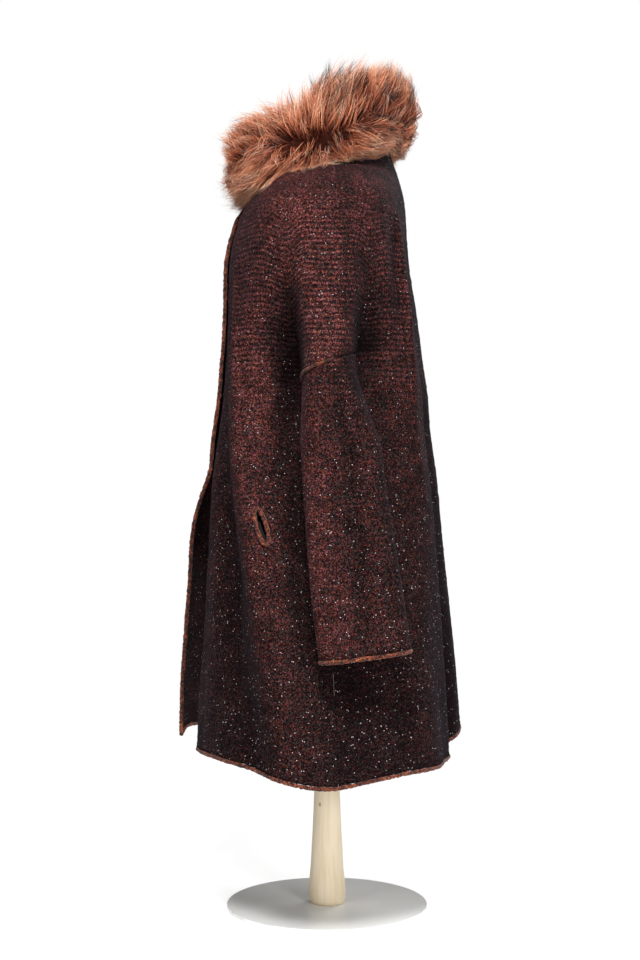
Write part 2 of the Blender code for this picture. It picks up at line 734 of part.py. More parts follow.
def make_collar():
    """The fur collar: a thick roll round the neck that ends at the centre front."""
    spots = [(COLLAR_END_ANGLE + COLLAR_END_STEP * i, size) for i, size in enumerate(COLLAR_END_SIZES)]
    spots += [(angle, 1.0) for angle in angles_between(spots[-1][0], 180, COLLAR_RINGS)[1:]]
    rings = [collar_section(LEFT, *spot) for spot in spots]
    rings += [collar_section(RIGHT, *spot) for spot in spots[-2::-1]]
    mesh = bmesh.new()
    made = [[mesh.verts.new(p) for p in ring] for ring in rings]
    join_rings(mesh, made)
    for ring in (made[0], made[-1]):
        tip = mesh.verts.new(sum((v.co for v in ring), Vector()) / len(ring))
        for i in range(len(ring)):
            mesh.faces.new((ring[i], ring[(i + 1) % len(ring)], tip))
    bmesh.ops.recalc_face_normals(mesh, faces=mesh.faces)
    paint(add_mesh("fur_collar", mesh), FUR)


def form_radius(angle, height):
    """The dress form's distance from the axis, just inside the coat's shoulders."""
    size = [read(FORM, name, height) for name in FORM_COLUMNS[1:]]
    own = oval(angle, *size, FORM_SQUARENESS)
    if height > level_at(angle, 1.0, False) - NECK_MARGIN or height < LOWEST_SHOULDER:
        return own
    slope = (yoke_radius(angle, height + NUDGE) - yoke_radius(angle, height - NUDGE)) / (2 * NUDGE)
    return min(own, yoke_radius(angle, height) - (CLOTH + FORM_CLEAR) * math.hypot(1, slope))


def make_form():
    """The limbless dress form: one smooth closed body from the hips to the neck."""
    mesh = bmesh.new()
    rings = []
    for height in FORM["height"][::-1]:
        ring = []
        for i in range(FORM_SIDES):
            turn = 360 * i / FORM_SIDES
            side, angle = (LEFT, turn) if turn <= 180 else (RIGHT, 360 - turn)
            ring.append(mesh.verts.new(place(side, angle, form_radius(angle, height), height)))
        rings.append(ring)
    join_rings(mesh, rings)
    mesh.faces.new(rings[0])
    mesh.faces.new(rings[-1])
    bmesh.ops.recalc_face_normals(mesh, faces=mesh.faces)
    paint(add_mesh("dress_form", mesh), FORM_COVER)


def make_post():
    """The turned wooden post, a profile spun round the axis."""
    foot = PLATE_THICK + GAP
    top = FORM_BOTTOM - GAP - foot
    heights = [h for h in POST["height"] if h < top] + [top]
    sides = [(read(POST, "radius", h), h + foot) for h in reversed(heights)]
    points = [(0.0, top + foot)] + sides + [(0.0, foot)]
    data = bpy.data.meshes.new("post")
    data.from_pydata([(r, 0, z) for r, z in points], [(i, i + 1) for i in range(len(points) - 1)], [])
    post = add("post", data)
    turn = post.modifiers.new("turned", "SCREW")
    turn.steps = turn.render_steps = POST_SIDES
    turn.use_merge_vertices = True
    turn.merge_threshold = 0.0001
    turn.use_smooth_shade = True
    paint(post, WOOD)


def make_plate():
    """The round base plate that the whole thing stands on."""
    mesh = bmesh.new()
    size = {"radius1": PLATE_RADIUS, "radius2": PLATE_RADIUS, "depth": PLATE_THICK}
    bmesh.ops.create_cone(mesh, cap_ends=True, segments=PLATE_SIDES, **size)
    plate = add_mesh("base_plate", mesh)
    plate.location.z = PLATE_THICK / 2
    rim = plate.modifiers.new("rim", "BEVEL")
    rim.width = PLATE_BEVEL
    rim.segments = 1
    paint(plate, PLATE_PAINT)


def material(name, colour, roughness, metallic=0.0):
    """A plain material of the part's colour."""
    made = bpy.data.materials.new(name)
    made.use_nodes = True
    shader = made.node_tree.nodes["Principled BSDF"]
    shader.inputs["Base Color"].default_value = (*colour, 1.0)
    shader.inputs["Roughness"].default_value = roughness
    shader.inputs["Metallic"].default_value = metallic
    return made


def paint(thing, finish):
    """Gives an object its material and shades it smooth where it is round."""
    thing.data.materials.append(finish)
    if thing.type == "MESH":
        thing.data.shade_smooth()


for old in list(bpy.data.objects):
    bpy.data.objects.remove(old, do_unlink=True)
PARTS = bpy.data.collections.new("wool_coat_on_dress_form")
CUTTERS = bpy.data.collections.new("cutters")
bpy.context.scene.collection.children.link(PARTS)
bpy.context.scene.collection.children.link(CUTTERS)

WOOL = material("wool_knit", (0.085, 0.04, 0.035), 0.95)
EDGING = material("edging_yarn", (0.42, 0.15, 0.06), 0.9)
POCKETING = material("pocketing", (0.03, 0.022, 0.022), 0.9)
FUR = material("fur", (0.5, 0.22, 0.1), 0.8)
FORM_COVER = material("form_cover", (0.72, 0.69, 0.62), 0.85)
WOOD = material("pale_wood", (0.78, 0.62, 0.42), 0.5)
PLATE_PAINT = material("plate_paint", (0.82, 0.82, 0.8), 0.4)

make_back()
for hand in (LEFT, RIGHT):
    cut_mouth(make_front(hand), hand)
    make_bag(hand)
    make_sleeve(hand)
make_collar()
make_form()
make_post()
make_plate()
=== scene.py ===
"""Looks for a wool coat with a fur collar, worn by a limbless dress form on a wooden post.

Metres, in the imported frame: +Z up, the coat's front faces -Y and its left side faces +X. The coat's form
comes from level sections round the middle axis: an angle of 0 is the centre front, 90 the side and 180
the centre back, the same on the left and on the right.
"""
import math

import bmesh
import bpy
import numpy as np
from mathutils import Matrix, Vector


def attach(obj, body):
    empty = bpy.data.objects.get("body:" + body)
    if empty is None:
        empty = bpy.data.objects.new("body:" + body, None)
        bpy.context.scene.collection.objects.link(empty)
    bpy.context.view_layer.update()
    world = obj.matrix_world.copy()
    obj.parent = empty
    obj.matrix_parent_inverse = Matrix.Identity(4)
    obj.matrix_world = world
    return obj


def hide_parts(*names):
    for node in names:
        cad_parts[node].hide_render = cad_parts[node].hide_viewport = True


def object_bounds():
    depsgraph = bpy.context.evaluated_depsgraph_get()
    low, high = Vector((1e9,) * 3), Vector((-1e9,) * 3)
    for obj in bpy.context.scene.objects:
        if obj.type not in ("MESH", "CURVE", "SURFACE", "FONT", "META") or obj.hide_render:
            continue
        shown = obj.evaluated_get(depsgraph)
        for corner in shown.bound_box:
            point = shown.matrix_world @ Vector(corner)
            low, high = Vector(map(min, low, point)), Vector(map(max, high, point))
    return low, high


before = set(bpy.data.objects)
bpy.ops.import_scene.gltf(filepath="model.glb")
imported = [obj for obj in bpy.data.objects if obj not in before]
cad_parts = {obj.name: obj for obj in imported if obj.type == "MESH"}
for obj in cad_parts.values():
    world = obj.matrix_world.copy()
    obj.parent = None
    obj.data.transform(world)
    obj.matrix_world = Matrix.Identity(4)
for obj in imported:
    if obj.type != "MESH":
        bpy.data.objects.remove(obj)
CAD_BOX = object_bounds()
LEFT, RIGHT = 1, -1
SIDE_NAMES = {LEFT: "left", RIGHT: "right"}

# Clearances and thicknesses
GAP = 0.0003
CLOTH = 0.003
POCKET_CLOTH = 0.0018
EDGE_ROLL = 0.0026
SEAM_HALF_GAP = 0.0003
SLEEVE_HEAD_GAP = 0.0014
FORM_CLEAR = 0.0012

# The photograph's camera: it looks level at the coat's left side
CAMERA_AWAY = 2.4
CAMERA_AIM = (-0.0105, 0.639)
CAMERA_LENS = 60.0
SENSOR = 36.0

# The stand
PLATE_RADIUS = 0.15
PLATE_THICK = 0.006
PLATE_BEVEL = 0.0015
FORM_BOTTOM = 0.436
POST_COLUMNS = ("height", "radius")
POST_ROWS = (
    (0.000, 0.0262),
    (0.004, 0.0268),
    (0.060, 0.0242),
    (0.120, 0.0211),
    (0.180, 0.0188),
    (0.260, 0.0174),
    (0.429, 0.0165),
)

# The coat above the armholes: outer sizes at each level, and the folds beside the sleeve head
YOKE_COLUMNS = ("height", "half_width", "front", "back", "front_valley", "back_valley")
YOKE_ROWS = (
    (1.130, 0.074, 0.0780, 0.0940, 0.000, 0.000),
    (1.110, 0.096, 0.0865, 0.0995, 0.000, 0.000),
    (1.090, 0.130, 0.0940, 0.1055, 0.000, 0.000),
    (1.070, 0.170, 0.1015, 0.1105, 0.000, 0.000),
    (1.050, 0.203, 0.1105, 0.1145, 0.000, 0.000),
    (1.030, 0.221, 0.1255, 0.1165, 0.000, 0.001),
    (1.000, 0.235, 0.1365, 0.1180, 0.000, 0.004),
    (0.960, 0.246, 0.1445, 0.1210, 0.003, 0.010),
    (0.920, 0.255, 0.1460, 0.1250, 0.015, 0.022),
    (0.880, 0.262, 0.1470, 0.1300, 0.040, 0.044),
    (0.840, 0.268, 0.1485, 0.1345, 0.072, 0.070),
    (0.800, 0.273, 0.1510, 0.1390, 0.096, 0.090),
    (0.770, 0.276, 0.1530, 0.1440, 0.106, 0.098),
)
YOKE_SQUARENESS = 2.3
VALLEY_TO_SLEEVE = 5.5
VALLEY_TO_BODY = 10.5

# The coat below the armholes
SKIRT_COLUMNS = ("height", "half_width", "front", "back", "squareness")
SKIRT_ROWS = (
    (0.820, 0.176, 0.1500, 0.1370, 3.4),
    (0.770, 0.184, 0.1530, 0.1440, 3.4),
    (0.700, 0.195, 0.1610, 0.1500, 3.2),
    (0.640, 0.204, 0.1690, 0.1600, 3.0),
    (0.580, 0.213, 0.1725, 0.1680, 2.8),
    (0.490, 0.227, 0.1760, 0.1780, 2.6),
    (0.400, 0.243, 0.1830, 0.1880, 2.4),
    (0.340, 0.255, 0.1880, 0.1940, 2.3),
    (0.230, 0.280, 0.1940, 0.2020, 2.2),
)
ARMHOLE_FADE = 0.16

# How far the right front stands forward of the left at the overlap, and where their edges lie
LAP_COLUMNS = ("height", "lap", "right_edge", "left_edge")
LAP_ROWS = (
    (1.080, 0.0070, -7.0, 3.0),
    (1.000, 0.0075, -8.0, -3.0),
    (0.880, 0.0070, -8.0, -3.0),
    (0.780, 0.0085, -8.0, -3.0),
    (0.700, 0.0095, -8.0, -3.0),
    (0.644, 0.0090, -7.0, -3.0),
    (0.620, 0.0160, -5.0, -2.0),
    (0.587, 0.0250, -3.5, 0.0),
    (0.545, 0.0300, -2.0, 1.0),
    (0.486, 0.0310, -1.0, 2.0),
    (0.400, 0.0310, -1.0, 3.0),
    (0.340, 0.0300, -1.0, 3.0),
    (0.230, 0.0260, -1.0, 3.0),
)
LAP_FLAT = 9.0
LAP_END = 44.0

# Angles of the seams, and the heights of the free edges round the coat
SEAM_COLUMNS = ("height", "seam")
SEAM_ROWS = ((1.13, 93.0), (1.03, 94.5), (0.86, 96.0), (0.80, 95.0), (0.50, 91.5), (0.23, 93.0))
SEAM_GUESS = 94.0
FRONT_VALLEY_ANGLE = 76.5
BACK_VALLEY_ANGLE = 104.0
EDGE_COLUMNS = ("angle", "neck", "armhole", "hem")
EDGE_ROWS = (
    (-10.0, 1.066, 0.777, 0.2415),
    (0.0, 1.068, 0.777, 0.2415),
    (30.0, 1.088, 0.777, 0.254),
    (45.0, 1.0965, 0.777, 0.257),
    (60.0, 1.104, 0.777, 0.253),
    (76.5, 1.110, 0.777, 0.2405),
    (90.0, 1.114, 0.798, 0.2325),
    (104.0, 1.118, 0.818, 0.241),
    (120.0, 1.122, 0.818, 0.245),
    (150.0, 1.128, 0.818, 0.2465),
    (180.0, 1.130, 0.818, 0.279),
)
RIGHT_HEM_RISE = 0.020

# Long soft folds of the skirt: the angle runs from the armhole to the hem, depths are outward
FOLD_COLUMNS = ("high_angle", "low_angle", "spread", "at_armhole", "half_way", "at_hem")
FOLD_ROWS = (
    (22.0, 38.0, 10.0, 0.000, 0.005, 0.004),
    (37.0, 66.0, 8.0, -0.005, -0.021, -0.013),
    (49.0, 82.0, 8.5, 0.007, 0.024, 0.006),
    (76.5, 98.0, 8.5, -0.004, -0.022, -0.002),
    (112.0, 114.0, 9.0, -0.002, -0.008, -0.009),
    (128.0, 141.0, 9.0, 0.003, -0.003, -0.015),
    (147.0, 159.0, 9.0, 0.000, -0.015, -0.028),
)
RIGHT_FOLD_SHIFT = 3.0
RIGHT_FOLD_SCALE = 0.85

# Soft creases and ridges, listed one by one: from a high end to a low end, width and depth outward
CREASE_COLUMNS = ("high_angle", "high", "low_angle", "low", "width", "depth")
CREASE_ROWS = (
    (46.0, 0.960, 55.5, 0.720, 0.013, 0.0080),
    (50.0, 0.860, 68.0, 0.440, 0.008, 0.0040),
    (62.0, 0.900, 66.0, 0.700, 0.013, -0.0030),
    (20.0, 0.900, 24.0, 0.520, 0.016, -0.0040),
    (47.0, 0.760, 58.0, 0.640, 0.009, 0.0022),
    (124.0, 1.020, 127.0, 0.760, 0.009, 0.0100),
    (118.0, 1.010, 121.0, 0.740, 0.013, -0.0080),
    (127.0, 0.790, 133.0, 0.600, 0.009, 0.0030),
    (142.0, 0.980, 150.0, 0.600, 0.016, -0.0050),
    (163.0, 0.940, 160.0, 0.560, 0.018, 0.0045),
    (84.0, 1.020, 82.0, 0.860, 0.012, 0.0018),
    (99.0, 0.990, 99.0, 0.860, 0.007, 0.0024),
    (86.0, 0.560, 84.0, 0.240, 0.022, 0.0040),
    (104.0, 0.700, 103.0, 0.300, 0.014, -0.0040),
    (58.0, 0.500, 62.0, 0.250, 0.013, 0.0030),
    (30.0, 0.560, 36.0, 0.250, 0.014, -0.0035),
)

# The sleeves below the sleeve head
SLEEVE_COLUMNS = ("height", "out", "back", "half_thick", "half_wide")
SLEEVE_ROWS = (
    (0.800, 0.226, 0.006, 0.0370, 0.0450),
    (0.740, 0.232, 0.011, 0.0350, 0.0500),
    (0.680, 0.239, 0.017, 0.0335, 0.0528),
    (0.580, 0.252, 0.0275, 0.0315, 0.0568),
    (0.490, 0.266, 0.038, 0.0305, 0.0604),
    (0.395, 0.281, 0.051, 0.0295, 0.0615),
)
SLEEVE_BLEND = 0.13
SLEEVE_START = 2.3
CUFF_FRONT = 0.400
CUFF_BACK = 0.416
SLEEVE_SQUARENESS = 2.4
SLEEVE_BULGE = 0.6

# Creases of the sleeve's outer face: shares across it from front to back, heights, width and depth
SLEEVE_CREASE_COLUMNS = ("high_share", "high", "low_share", "low", "width", "depth")
SLEEVE_CREASE_ROWS = (
    (0.62, 0.790, 0.50, 0.400, 0.09, -0.0105),
    (0.20, 0.760, 0.22, 0.420, 0.12, 0.0020),
    (0.86, 0.700, 0.80, 0.440, 0.09, 0.0026),
    (0.77, 0.590, 0.73, 0.520, 0.03, -0.0028),
    (0.34, 0.700, 0.30, 0.560, 0.05, -0.0016),
)

# The pocket mouths: a slanted slit whose lower lip hangs open, and the bag behind it
MOUTH_INNER_ANGLE = 65.0
MOUTH_OUTER_ANGLE = 69.8
MOUTH_INNER_HEIGHT = 0.595
MOUTH_OUTER_HEIGHT = 0.556
MOUTH_HALF_OPEN = 0.0125
RIM_CLEAR = 0.0005
BAG_DEPTH = 0.13
BAG_BEHIND = {LEFT: 0.0175, RIGHT: 0.0187}
BAG_HALF_OPEN = 0.009
BAG_LIP_INSIDE = 0.004
BAG_LIP_OUTSIDE = -0.009
BAG_WIDENS = 3.6
BAG_FLATTENS = 0.4
GAPE = 0.0045
GAPE_REACH = 0.014

# The collar's roll: the middle of its section at each angle, and the section's half sizes
COLLAR_COLUMNS = ("angle", "reach", "height", "half_across", "half_tall")
COLLAR_ROWS = (
    (3.0, 0.117, 1.105, 0.053, 0.056),
    (40.0, 0.131, 1.112, 0.057, 0.066),
    (66.0, 0.138, 1.120, 0.063, 0.076),
    (90.0, 0.130, 1.150, 0.060, 0.080),
    (135.0, 0.112, 1.180, 0.051, 0.072),
    (180.0, 0.098, 1.190, 0.044, 0.064),
)

# The line that the fur grows from, and how thick the roll under it is
ROOT_COLUMNS = ("angle", "reach", "height", "thick")
ROOT_ROWS = (
    (3.0, 0.103, 1.096, 0.018),
    (45.0, 0.117, 1.104, 0.022),
    (70.0, 0.124, 1.112, 0.024),
    (90.0, 0.123, 1.130, 0.025),
    (135.0, 0.106, 1.156, 0.021),
    (180.0, 0.091, 1.168, 0.018),
)
FUR_END_ANGLE = 4.0
FUR_SECTIONS = (
    ("fur_front_left", 0.0, 90.0),
    ("fur_back_left", 90.0, 180.0),
    ("fur_back_right", 180.0, 270.0),
    ("fur_front_right", 270.0, 360.0),
)
LOCKS = 1000
HAIRS_IN_LOCK = 21
HAIR_WIDTH = 0.0010
HAIR_WIDTHS = (0.6, 1.25)
HAIR_STEPS = (0.0, 0.27, 0.53, 0.78, 1.0)
HAIR_TAPER = (1.0, 0.95, 0.75, 0.45)
HAIR_STRIP = ((0, 1, 3), (0, 3, 2), (2, 3, 5), (2, 5, 4), (4, 5, 7), (4, 7, 6), (6, 7, 8))

# How the fur is combed: it parts along the top at one angle, fans out from there and leans away from it
PARTING = 82.0
PARTING_WAVER = 0.3
PARTING_WAVES = 7
WAVER_START = 40
PARTING_DIP = 0.34
PARTING_WIDTH = 0.6
FAN = 30.0
FAN_RISE = 24
FAN_WIDTH = 55
SWEEP_SPREAD = 6.5
LEAN = 0.75
LEAN_WIDTH = 60
LEAN_SPREAD = 0.16
FRONT_END = 60
FRONT_SWEEP = 5.0
FRONT_REACH = 0.14
LOCK_REACH = (0.80, 1.08)
LOBE_REACH = 0.14
LOBE_SECTION = (-1.1, 0.6)
LOBE_ANGLE = (-20, 26)

# How the hairs of a lock differ, and the bend of each
LOCK_BEND = 0.013
ROOT_TURN_SPREAD = 2.6
ROOT_SECTION_SPREAD = 0.20
ROOT_DEPTH = 0.8
TIP_TURN_SPREAD = 1.0
TIP_SECTION_SPREAD = 0.06
HAIR_REACH = (0.70, 1.04)
GUARD_SHARE = 0.07
GUARD_REACH = 1.10
KNEE_OUT = 0.42
KNEE_SPREAD = 0.0022
KNEE_LIFT = 0.004
FUR_LIFT = 0.0012
FUR_LIFT_SPREAD = 0.004
FUR_PAST_TOP = 0.004
NECK_CLEAR = 0.003

# Where the fur's ends are dark: the far end and the top of the collar, and a few hairs elsewhere
DARK_BACK = (96, 12)
DARK_BACK_HEIGHT = (1.12, 0.02)
DARK_TOP_HEIGHT = (1.19, 0.04)
DARK_BACK_FROM = 0.58
DARK_TOP_FROM = 0.6
DARK_KEPT = 0.85
DARK_STRAY = 0.04
LOCK_TONE = 0.55
HAIR_TONE = 0.45

# The dress form, smooth and without limbs
FORM_COLUMNS = ("height", "half_width", "front", "back")
FORM_ROWS = (
    (1.182, 0.022, 0.024, 0.016),
    (1.176, 0.036, 0.040, 0.030),
    (1.164, 0.043, 0.048, 0.037),
    (1.140, 0.045, 0.050, 0.040),
    (1.116, 0.050, 0.052, 0.045),
    (1.106, 0.066, 0.052, 0.053),
    (1.096, 0.104, 0.055, 0.064),
    (1.082, 0.146, 0.060, 0.078),
    (1.070, 0.170, 0.067, 0.088),
    (1.050, 0.186, 0.083, 0.097),
    (1.020, 0.190, 0.105, 0.101),
    (0.980, 0.184, 0.119, 0.104),
    (0.920, 0.168, 0.128, 0.104),
    (0.860, 0.150, 0.125, 0.099),
    (0.790, 0.134, 0.110, 0.091),
    (0.730, 0.127, 0.100, 0.088),
    (0.670, 0.136, 0.104, 0.098),
    (0.600, 0.154, 0.112, 0.112),
    (0.530, 0.165, 0.114, 0.120),
    (0.470, 0.164, 0.110, 0.116),
    (0.446, 0.156, 0.104, 0.108),
    (0.436, 0.140, 0.092, 0.096),
)
FORM_SQUARENESS = 2.15

# The studio
ROOM_LIGHT = 0.09
FLOOR_RADIUS = 1.7
SOFTBOXES = (
    ("key", (2.1, -0.1, 2.8), (0, 0, 1.0), 0.6, 92),
    ("front", (2.0, -1.9, 2.1), (0, 0, 1.05), 0.7, 15),
    ("far", (-2.0, 1.6, 2.3), (0, 0, 0.9), 1.0, 50),
    ("low", (1.5, 0.7, 0.6), (0, 0, 0.04), 0.4, 13),
)

# Knit and mesh detail
COURSE = 0.0074
COURSE_ZERO = 1.0
NAP = 0.00028
NAP_MOST = 2.5 * NAP
YARN_ROLL = EDGE_ROLL * 1.1
RIM_ROLL = EDGE_ROLL * 1.15
ROLL_STEP = 1.1
ROLL_LUMPS = (-0.3, 0.35)
ROLL_ENDS = (0.02, 0.98)
OFF_AXES = (0.31, 0.47, 0.83)
SEAM_YARN = 0.0027
SEAM_YARN_OUT = 0.0006
SEAM_YARN_END = 91.5
SEAM_YARN_POINTS = 40
# Painted shading carried by the wool's mesh: painted shade towards the hem and painted light towards the top,
# painted shade over the back, painted highlight on fold crests and painted shade in fold valleys
PAINTED_SHADE_HEIGHTS = (0.24, 0.50, 0.75, 0.95, 1.10)
PAINTED_SHADE_LEVELS = (-0.06, -0.02, 0.05, 0.10, 0.11)
BACK_PAINTED_SHADE = -0.09
CREST_HIGHLIGHT_VALLEY_SHADE = 6.5
CREST_MOST = 0.014
VALLEY_MOST = 0.034
# Painted shading of the sleeves: painted light over the whole sleeve, painted shade towards its back, painted
# highlight on its raised creases and painted shade in its dents
SLEEVE_PAINTED_LIGHT = 0.14
SLEEVE_BACK_PAINTED_SHADE = -0.16
SLEEVE_CREASE_HIGHLIGHT_SHADE = 9.0
YOKE_LEVELS = 76
YOKE_SPREAD = 1.4
SKIRT_LEVELS = 108
FRONT_COLUMNS = 58
SLEEVE_HEAD_COLUMNS = 22
BACK_COLUMNS = 56
SLEEVE_OUTER_STEPS = 44
SLEEVE_INNER_STEPS = 28
SLEEVE_LEVELS = 92
BAG_LEVELS = 30
BAG_COLUMNS = 48
MOUTH_CORNERS = 40
RIM_POINTS = 60
RIM_PAST = 0.03
RIM_SHARE = 0.6
CUTTER_DEPTHS = (-0.02, 0.02)

# Heights of the shoulder under the fur, kept over even steps of angle and of distance from the axis
SHOULDER_ANGLE_STEP = 3.0
SHOULDER_FROM = 0.02
SHOULDER_REACH = 0.30
SHOULDER_STEP = 0.002
SHOULDER_ANGLES = 61
SHOULDER_DISTANCES = 141
SHOULDER_LOWEST = 0.9
HALVINGS = 26

# Seeds of the random draws
FRONT_SEED, FRONT_YARN_SEED = 10, 20
BACK_SEED, BACK_YARN_SEED = 30, 32
SLEEVE_SEED, CUFF_SEED, SEAM_SEED = 40, 50, 60
RIM_SEED, FUR_SEED = 70, 80


def table(columns, rows):
    """The table's columns by name, sorted by the first one."""
    values = np.array(sorted(rows), float).T
    return dict(zip(columns, values))


YOKE = table(YOKE_COLUMNS, YOKE_ROWS)
SKIRT = table(SKIRT_COLUMNS, SKIRT_ROWS)
LAP = table(LAP_COLUMNS, LAP_ROWS)
SEAM = table(SEAM_COLUMNS, SEAM_ROWS)
EDGES = table(EDGE_COLUMNS, EDGE_ROWS)
SLEEVE = table(SLEEVE_COLUMNS, SLEEVE_ROWS)
COLLAR = table(COLLAR_COLUMNS, COLLAR_ROWS)
ROOT = table(ROOT_COLUMNS, ROOT_ROWS)
FORM = table(FORM_COLUMNS, FORM_ROWS)
POST = table(POST_COLUMNS, POST_ROWS)


def read(rows, column, at):
    """The column's values at places between rows, on a smooth curve through them."""
    x, y = next(iter(rows.values())), rows[column]
    at = np.clip(at, x[0], x[-1])
    i = np.clip(np.searchsorted(x, at, side="right") - 1, 0, len(x) - 2)
    slopes = np.gradient(y, x)
    step = x[i + 1] - x[i]
    t = (at - x[i]) / step
    rise = t * t * (3 - 2 * t)
    curve = slopes[i] * t * (1 - t) ** 2 + slopes[i + 1] * t * t * (t - 1)
    return y[i] * (1 - rise) + y[i + 1] * rise + step * curve


def ease(t):
    """0 to 1, with level ends."""
    t = np.clip(t, 0.0, 1.0)
    return t * t * (3 - 2 * t)


def bell(away, width):
    """1 in the middle, fading to both sides."""
    return np.exp(-((away / width) ** 2))


def oval(angle, half_width, front, back, squareness):
    """Distance from the axis of a rounded oval at an angle from the centre front."""
    across, along = np.sin(np.radians(angle)), np.cos(np.radians(angle))
    depth = np.where(along > 0, front, back)
    total = np.abs(across / half_width) ** squareness + np.abs(along / depth) ** squareness
    return total ** (-1 / squareness)


def valley(angle, middle, towards_sleeve, depth):
    """The dip of the fold beside the sleeve head, steeper on the sleeve's side."""
    away = (angle - middle) * towards_sleeve
    spread = np.where(away > 0, VALLEY_TO_SLEEVE, VALLEY_TO_BODY)
    return depth * bell(away, spread)


def yoke_radius(angle, height):
    """The coat's outer distance from the axis, above the armholes."""
    size = [read(YOKE, name, height) for name in YOKE_COLUMNS[1:]]
    dip = valley(angle, FRONT_VALLEY_ANGLE, 1, size[3])
    dip = dip + valley(angle, BACK_VALLEY_ANGLE, -1, size[4])
    return oval(angle, *size[:3], YOKE_SQUARENESS) - dip


def folds(angle, height, side):
    """How far the skirt's long folds stand out at a place."""
    top, low = read(EDGES, "armhole", 0.0), read(EDGES, "hem", 0.0)
    down = np.clip((top - height) / (top - low), 0.0, 1.0)
    total = 0.0
    for high_angle, low_angle, spread, at_armhole, half_way, at_hem in FOLD_ROWS:
        depths = {"down": np.array([0.0, 0.5, 1.0]), "depth": np.array([at_armhole, half_way, at_hem])}
        middle, depth = high_angle + (low_angle - high_angle) * down, read(depths, "depth", down)
        if side == RIGHT:
            middle, depth = middle + RIGHT_FOLD_SHIFT, depth * RIGHT_FOLD_SCALE
        total = total + depth * bell(angle - middle, spread)
    return total


def plain_skirt_radius(angle, height):
    """The skirt's section without folds."""
    size = [read(SKIRT, name, height) for name in SKIRT_COLUMNS[1:]]
    return oval(angle, *size)


def skirt_radius(angle, height, side):
    """The coat's outer distance from the axis, below the armholes."""
    angle, height = np.broadcast_arrays(np.asarray(angle, float), np.asarray(height, float))
    forward = np.clip(angle, -90.0, FRONT_VALLEY_ANGLE)
    held = np.where(angle < 90, forward, np.maximum(angle, BACK_VALLEY_ANGLE))
    level = read(EDGES, "armhole", held)
    change = yoke_radius(held, level) - plain_skirt_radius(held, level) - folds(held, level, side)
    change = change * (1 - ease(np.abs(angle - held) / np.maximum(np.abs(90 - held), 0.001)))
    fading = 1 - ease((level - height) / ARMHOLE_FADE)
    return plain_skirt_radius(angle, height) + folds(angle, height, side) + change * fading


def lap(angle, height, side):
    """How far the right front stands forward over the left."""
    if side == LEFT:
        return np.zeros_like(angle * height)
    return read(LAP, "lap", height) * (1 - ease((angle - LAP_FLAT) / (LAP_END - LAP_FLAT)))


def creases(angle, height, radius, side):
    """How far the listed creases and ridges stand out."""
    total = 0.0
    for high_angle, high, low_angle, low, width, depth in CREASE_ROWS:
        down = np.clip((high - height) / (high - low), 0.0, 1.0)
        middle = high_angle + (low_angle - high_angle) * down
        if side == RIGHT:
            middle, depth = middle - RIGHT_FOLD_SHIFT, depth * RIGHT_FOLD_SCALE
        away = np.radians(angle - middle) * radius
        total = total + depth * np.sqrt(np.sin(np.pi * down)) * bell(away, width)
    return total


def gape(angle, height):
    """How far the pocket mouth's lower lip hangs out."""
    share = (angle - MOUTH_INNER_ANGLE) / (MOUTH_OUTER_ANGLE - MOUTH_INNER_ANGLE)
    line = MOUTH_INNER_HEIGHT + (MOUTH_OUTER_HEIGHT - MOUTH_INNER_HEIGHT) * share
    below = np.where(height < line, (line - height) / GAPE_REACH, (height - line) / (GAPE_REACH / 4))
    return GAPE * np.sin(np.pi * np.clip(share, 0, 1)) * np.exp(-(below**2))


def place(side, angle, distance, height):
    """The points at angles and distances from the axis, on the left or on the right."""
    turn = np.radians(angle)
    return np.stack(np.broadcast_arrays(side * distance * np.sin(turn), -distance * np.cos(turn), height), -1)


def coat_point(side, angle, height, below, inward=0.0):
    """Points of the coat's outer face, or that far behind it."""
    angle, height = np.broadcast_arrays(np.asarray(angle, float), np.asarray(height, float))
    distance = skirt_radius(angle, height, side) if below else yoke_radius(angle, height)
    distance = distance + creases(angle, height, distance, side)
    if below:
        distance = distance + gape(angle, height)
    return place(side, angle, distance + lap(angle, height, side) - inward, height)


def level_at(angle, step, below, side=LEFT):
    """The height of a row of points: rows spread evenly between the free edges."""
    low = read(EDGES, "hem" if below else "armhole", angle)
    high = read(EDGES, "armhole" if below else "neck", angle)
    if below and side == RIGHT:
        low = low + RIGHT_HEM_RISE * (1 - ease((angle - LAP_FLAT) / (LAP_END - LAP_FLAT)))
    return low + (high - low) * step


def steps_down(below):
    """The rows' places from 1 at the upper edge to 0 at the lower one, closer on the shoulder."""
    share = np.linspace(0, 1, (SKIRT_LEVELS if below else YOKE_LEVELS) + 1)
    return 1 - (share if below else share**YOKE_SPREAD)


def front_grid(side, below):
    """The outer points of a front, rows down and columns from its free edge round to the seam."""
    steps = steps_down(below)[:, None]
    guess = level_at(SEAM_GUESS, steps, below)
    edge = read(LAP, "right_edge" if side == RIGHT else "left_edge", guess)
    seam = read(SEAM, "seam", guess) - seam_allow(guess, below, side)
    body = edge + (FRONT_VALLEY_ANGLE - edge) * np.linspace(0, 1, FRONT_COLUMNS + 1)
    head = FRONT_VALLEY_ANGLE + (seam - FRONT_VALLEY_ANGLE) * np.linspace(0, 1, SLEEVE_HEAD_COLUMNS + 1)
    angles = np.hstack([body, head[:, 1:]])
    return coat_point(side, angles, level_at(angles, steps, below, side), below)


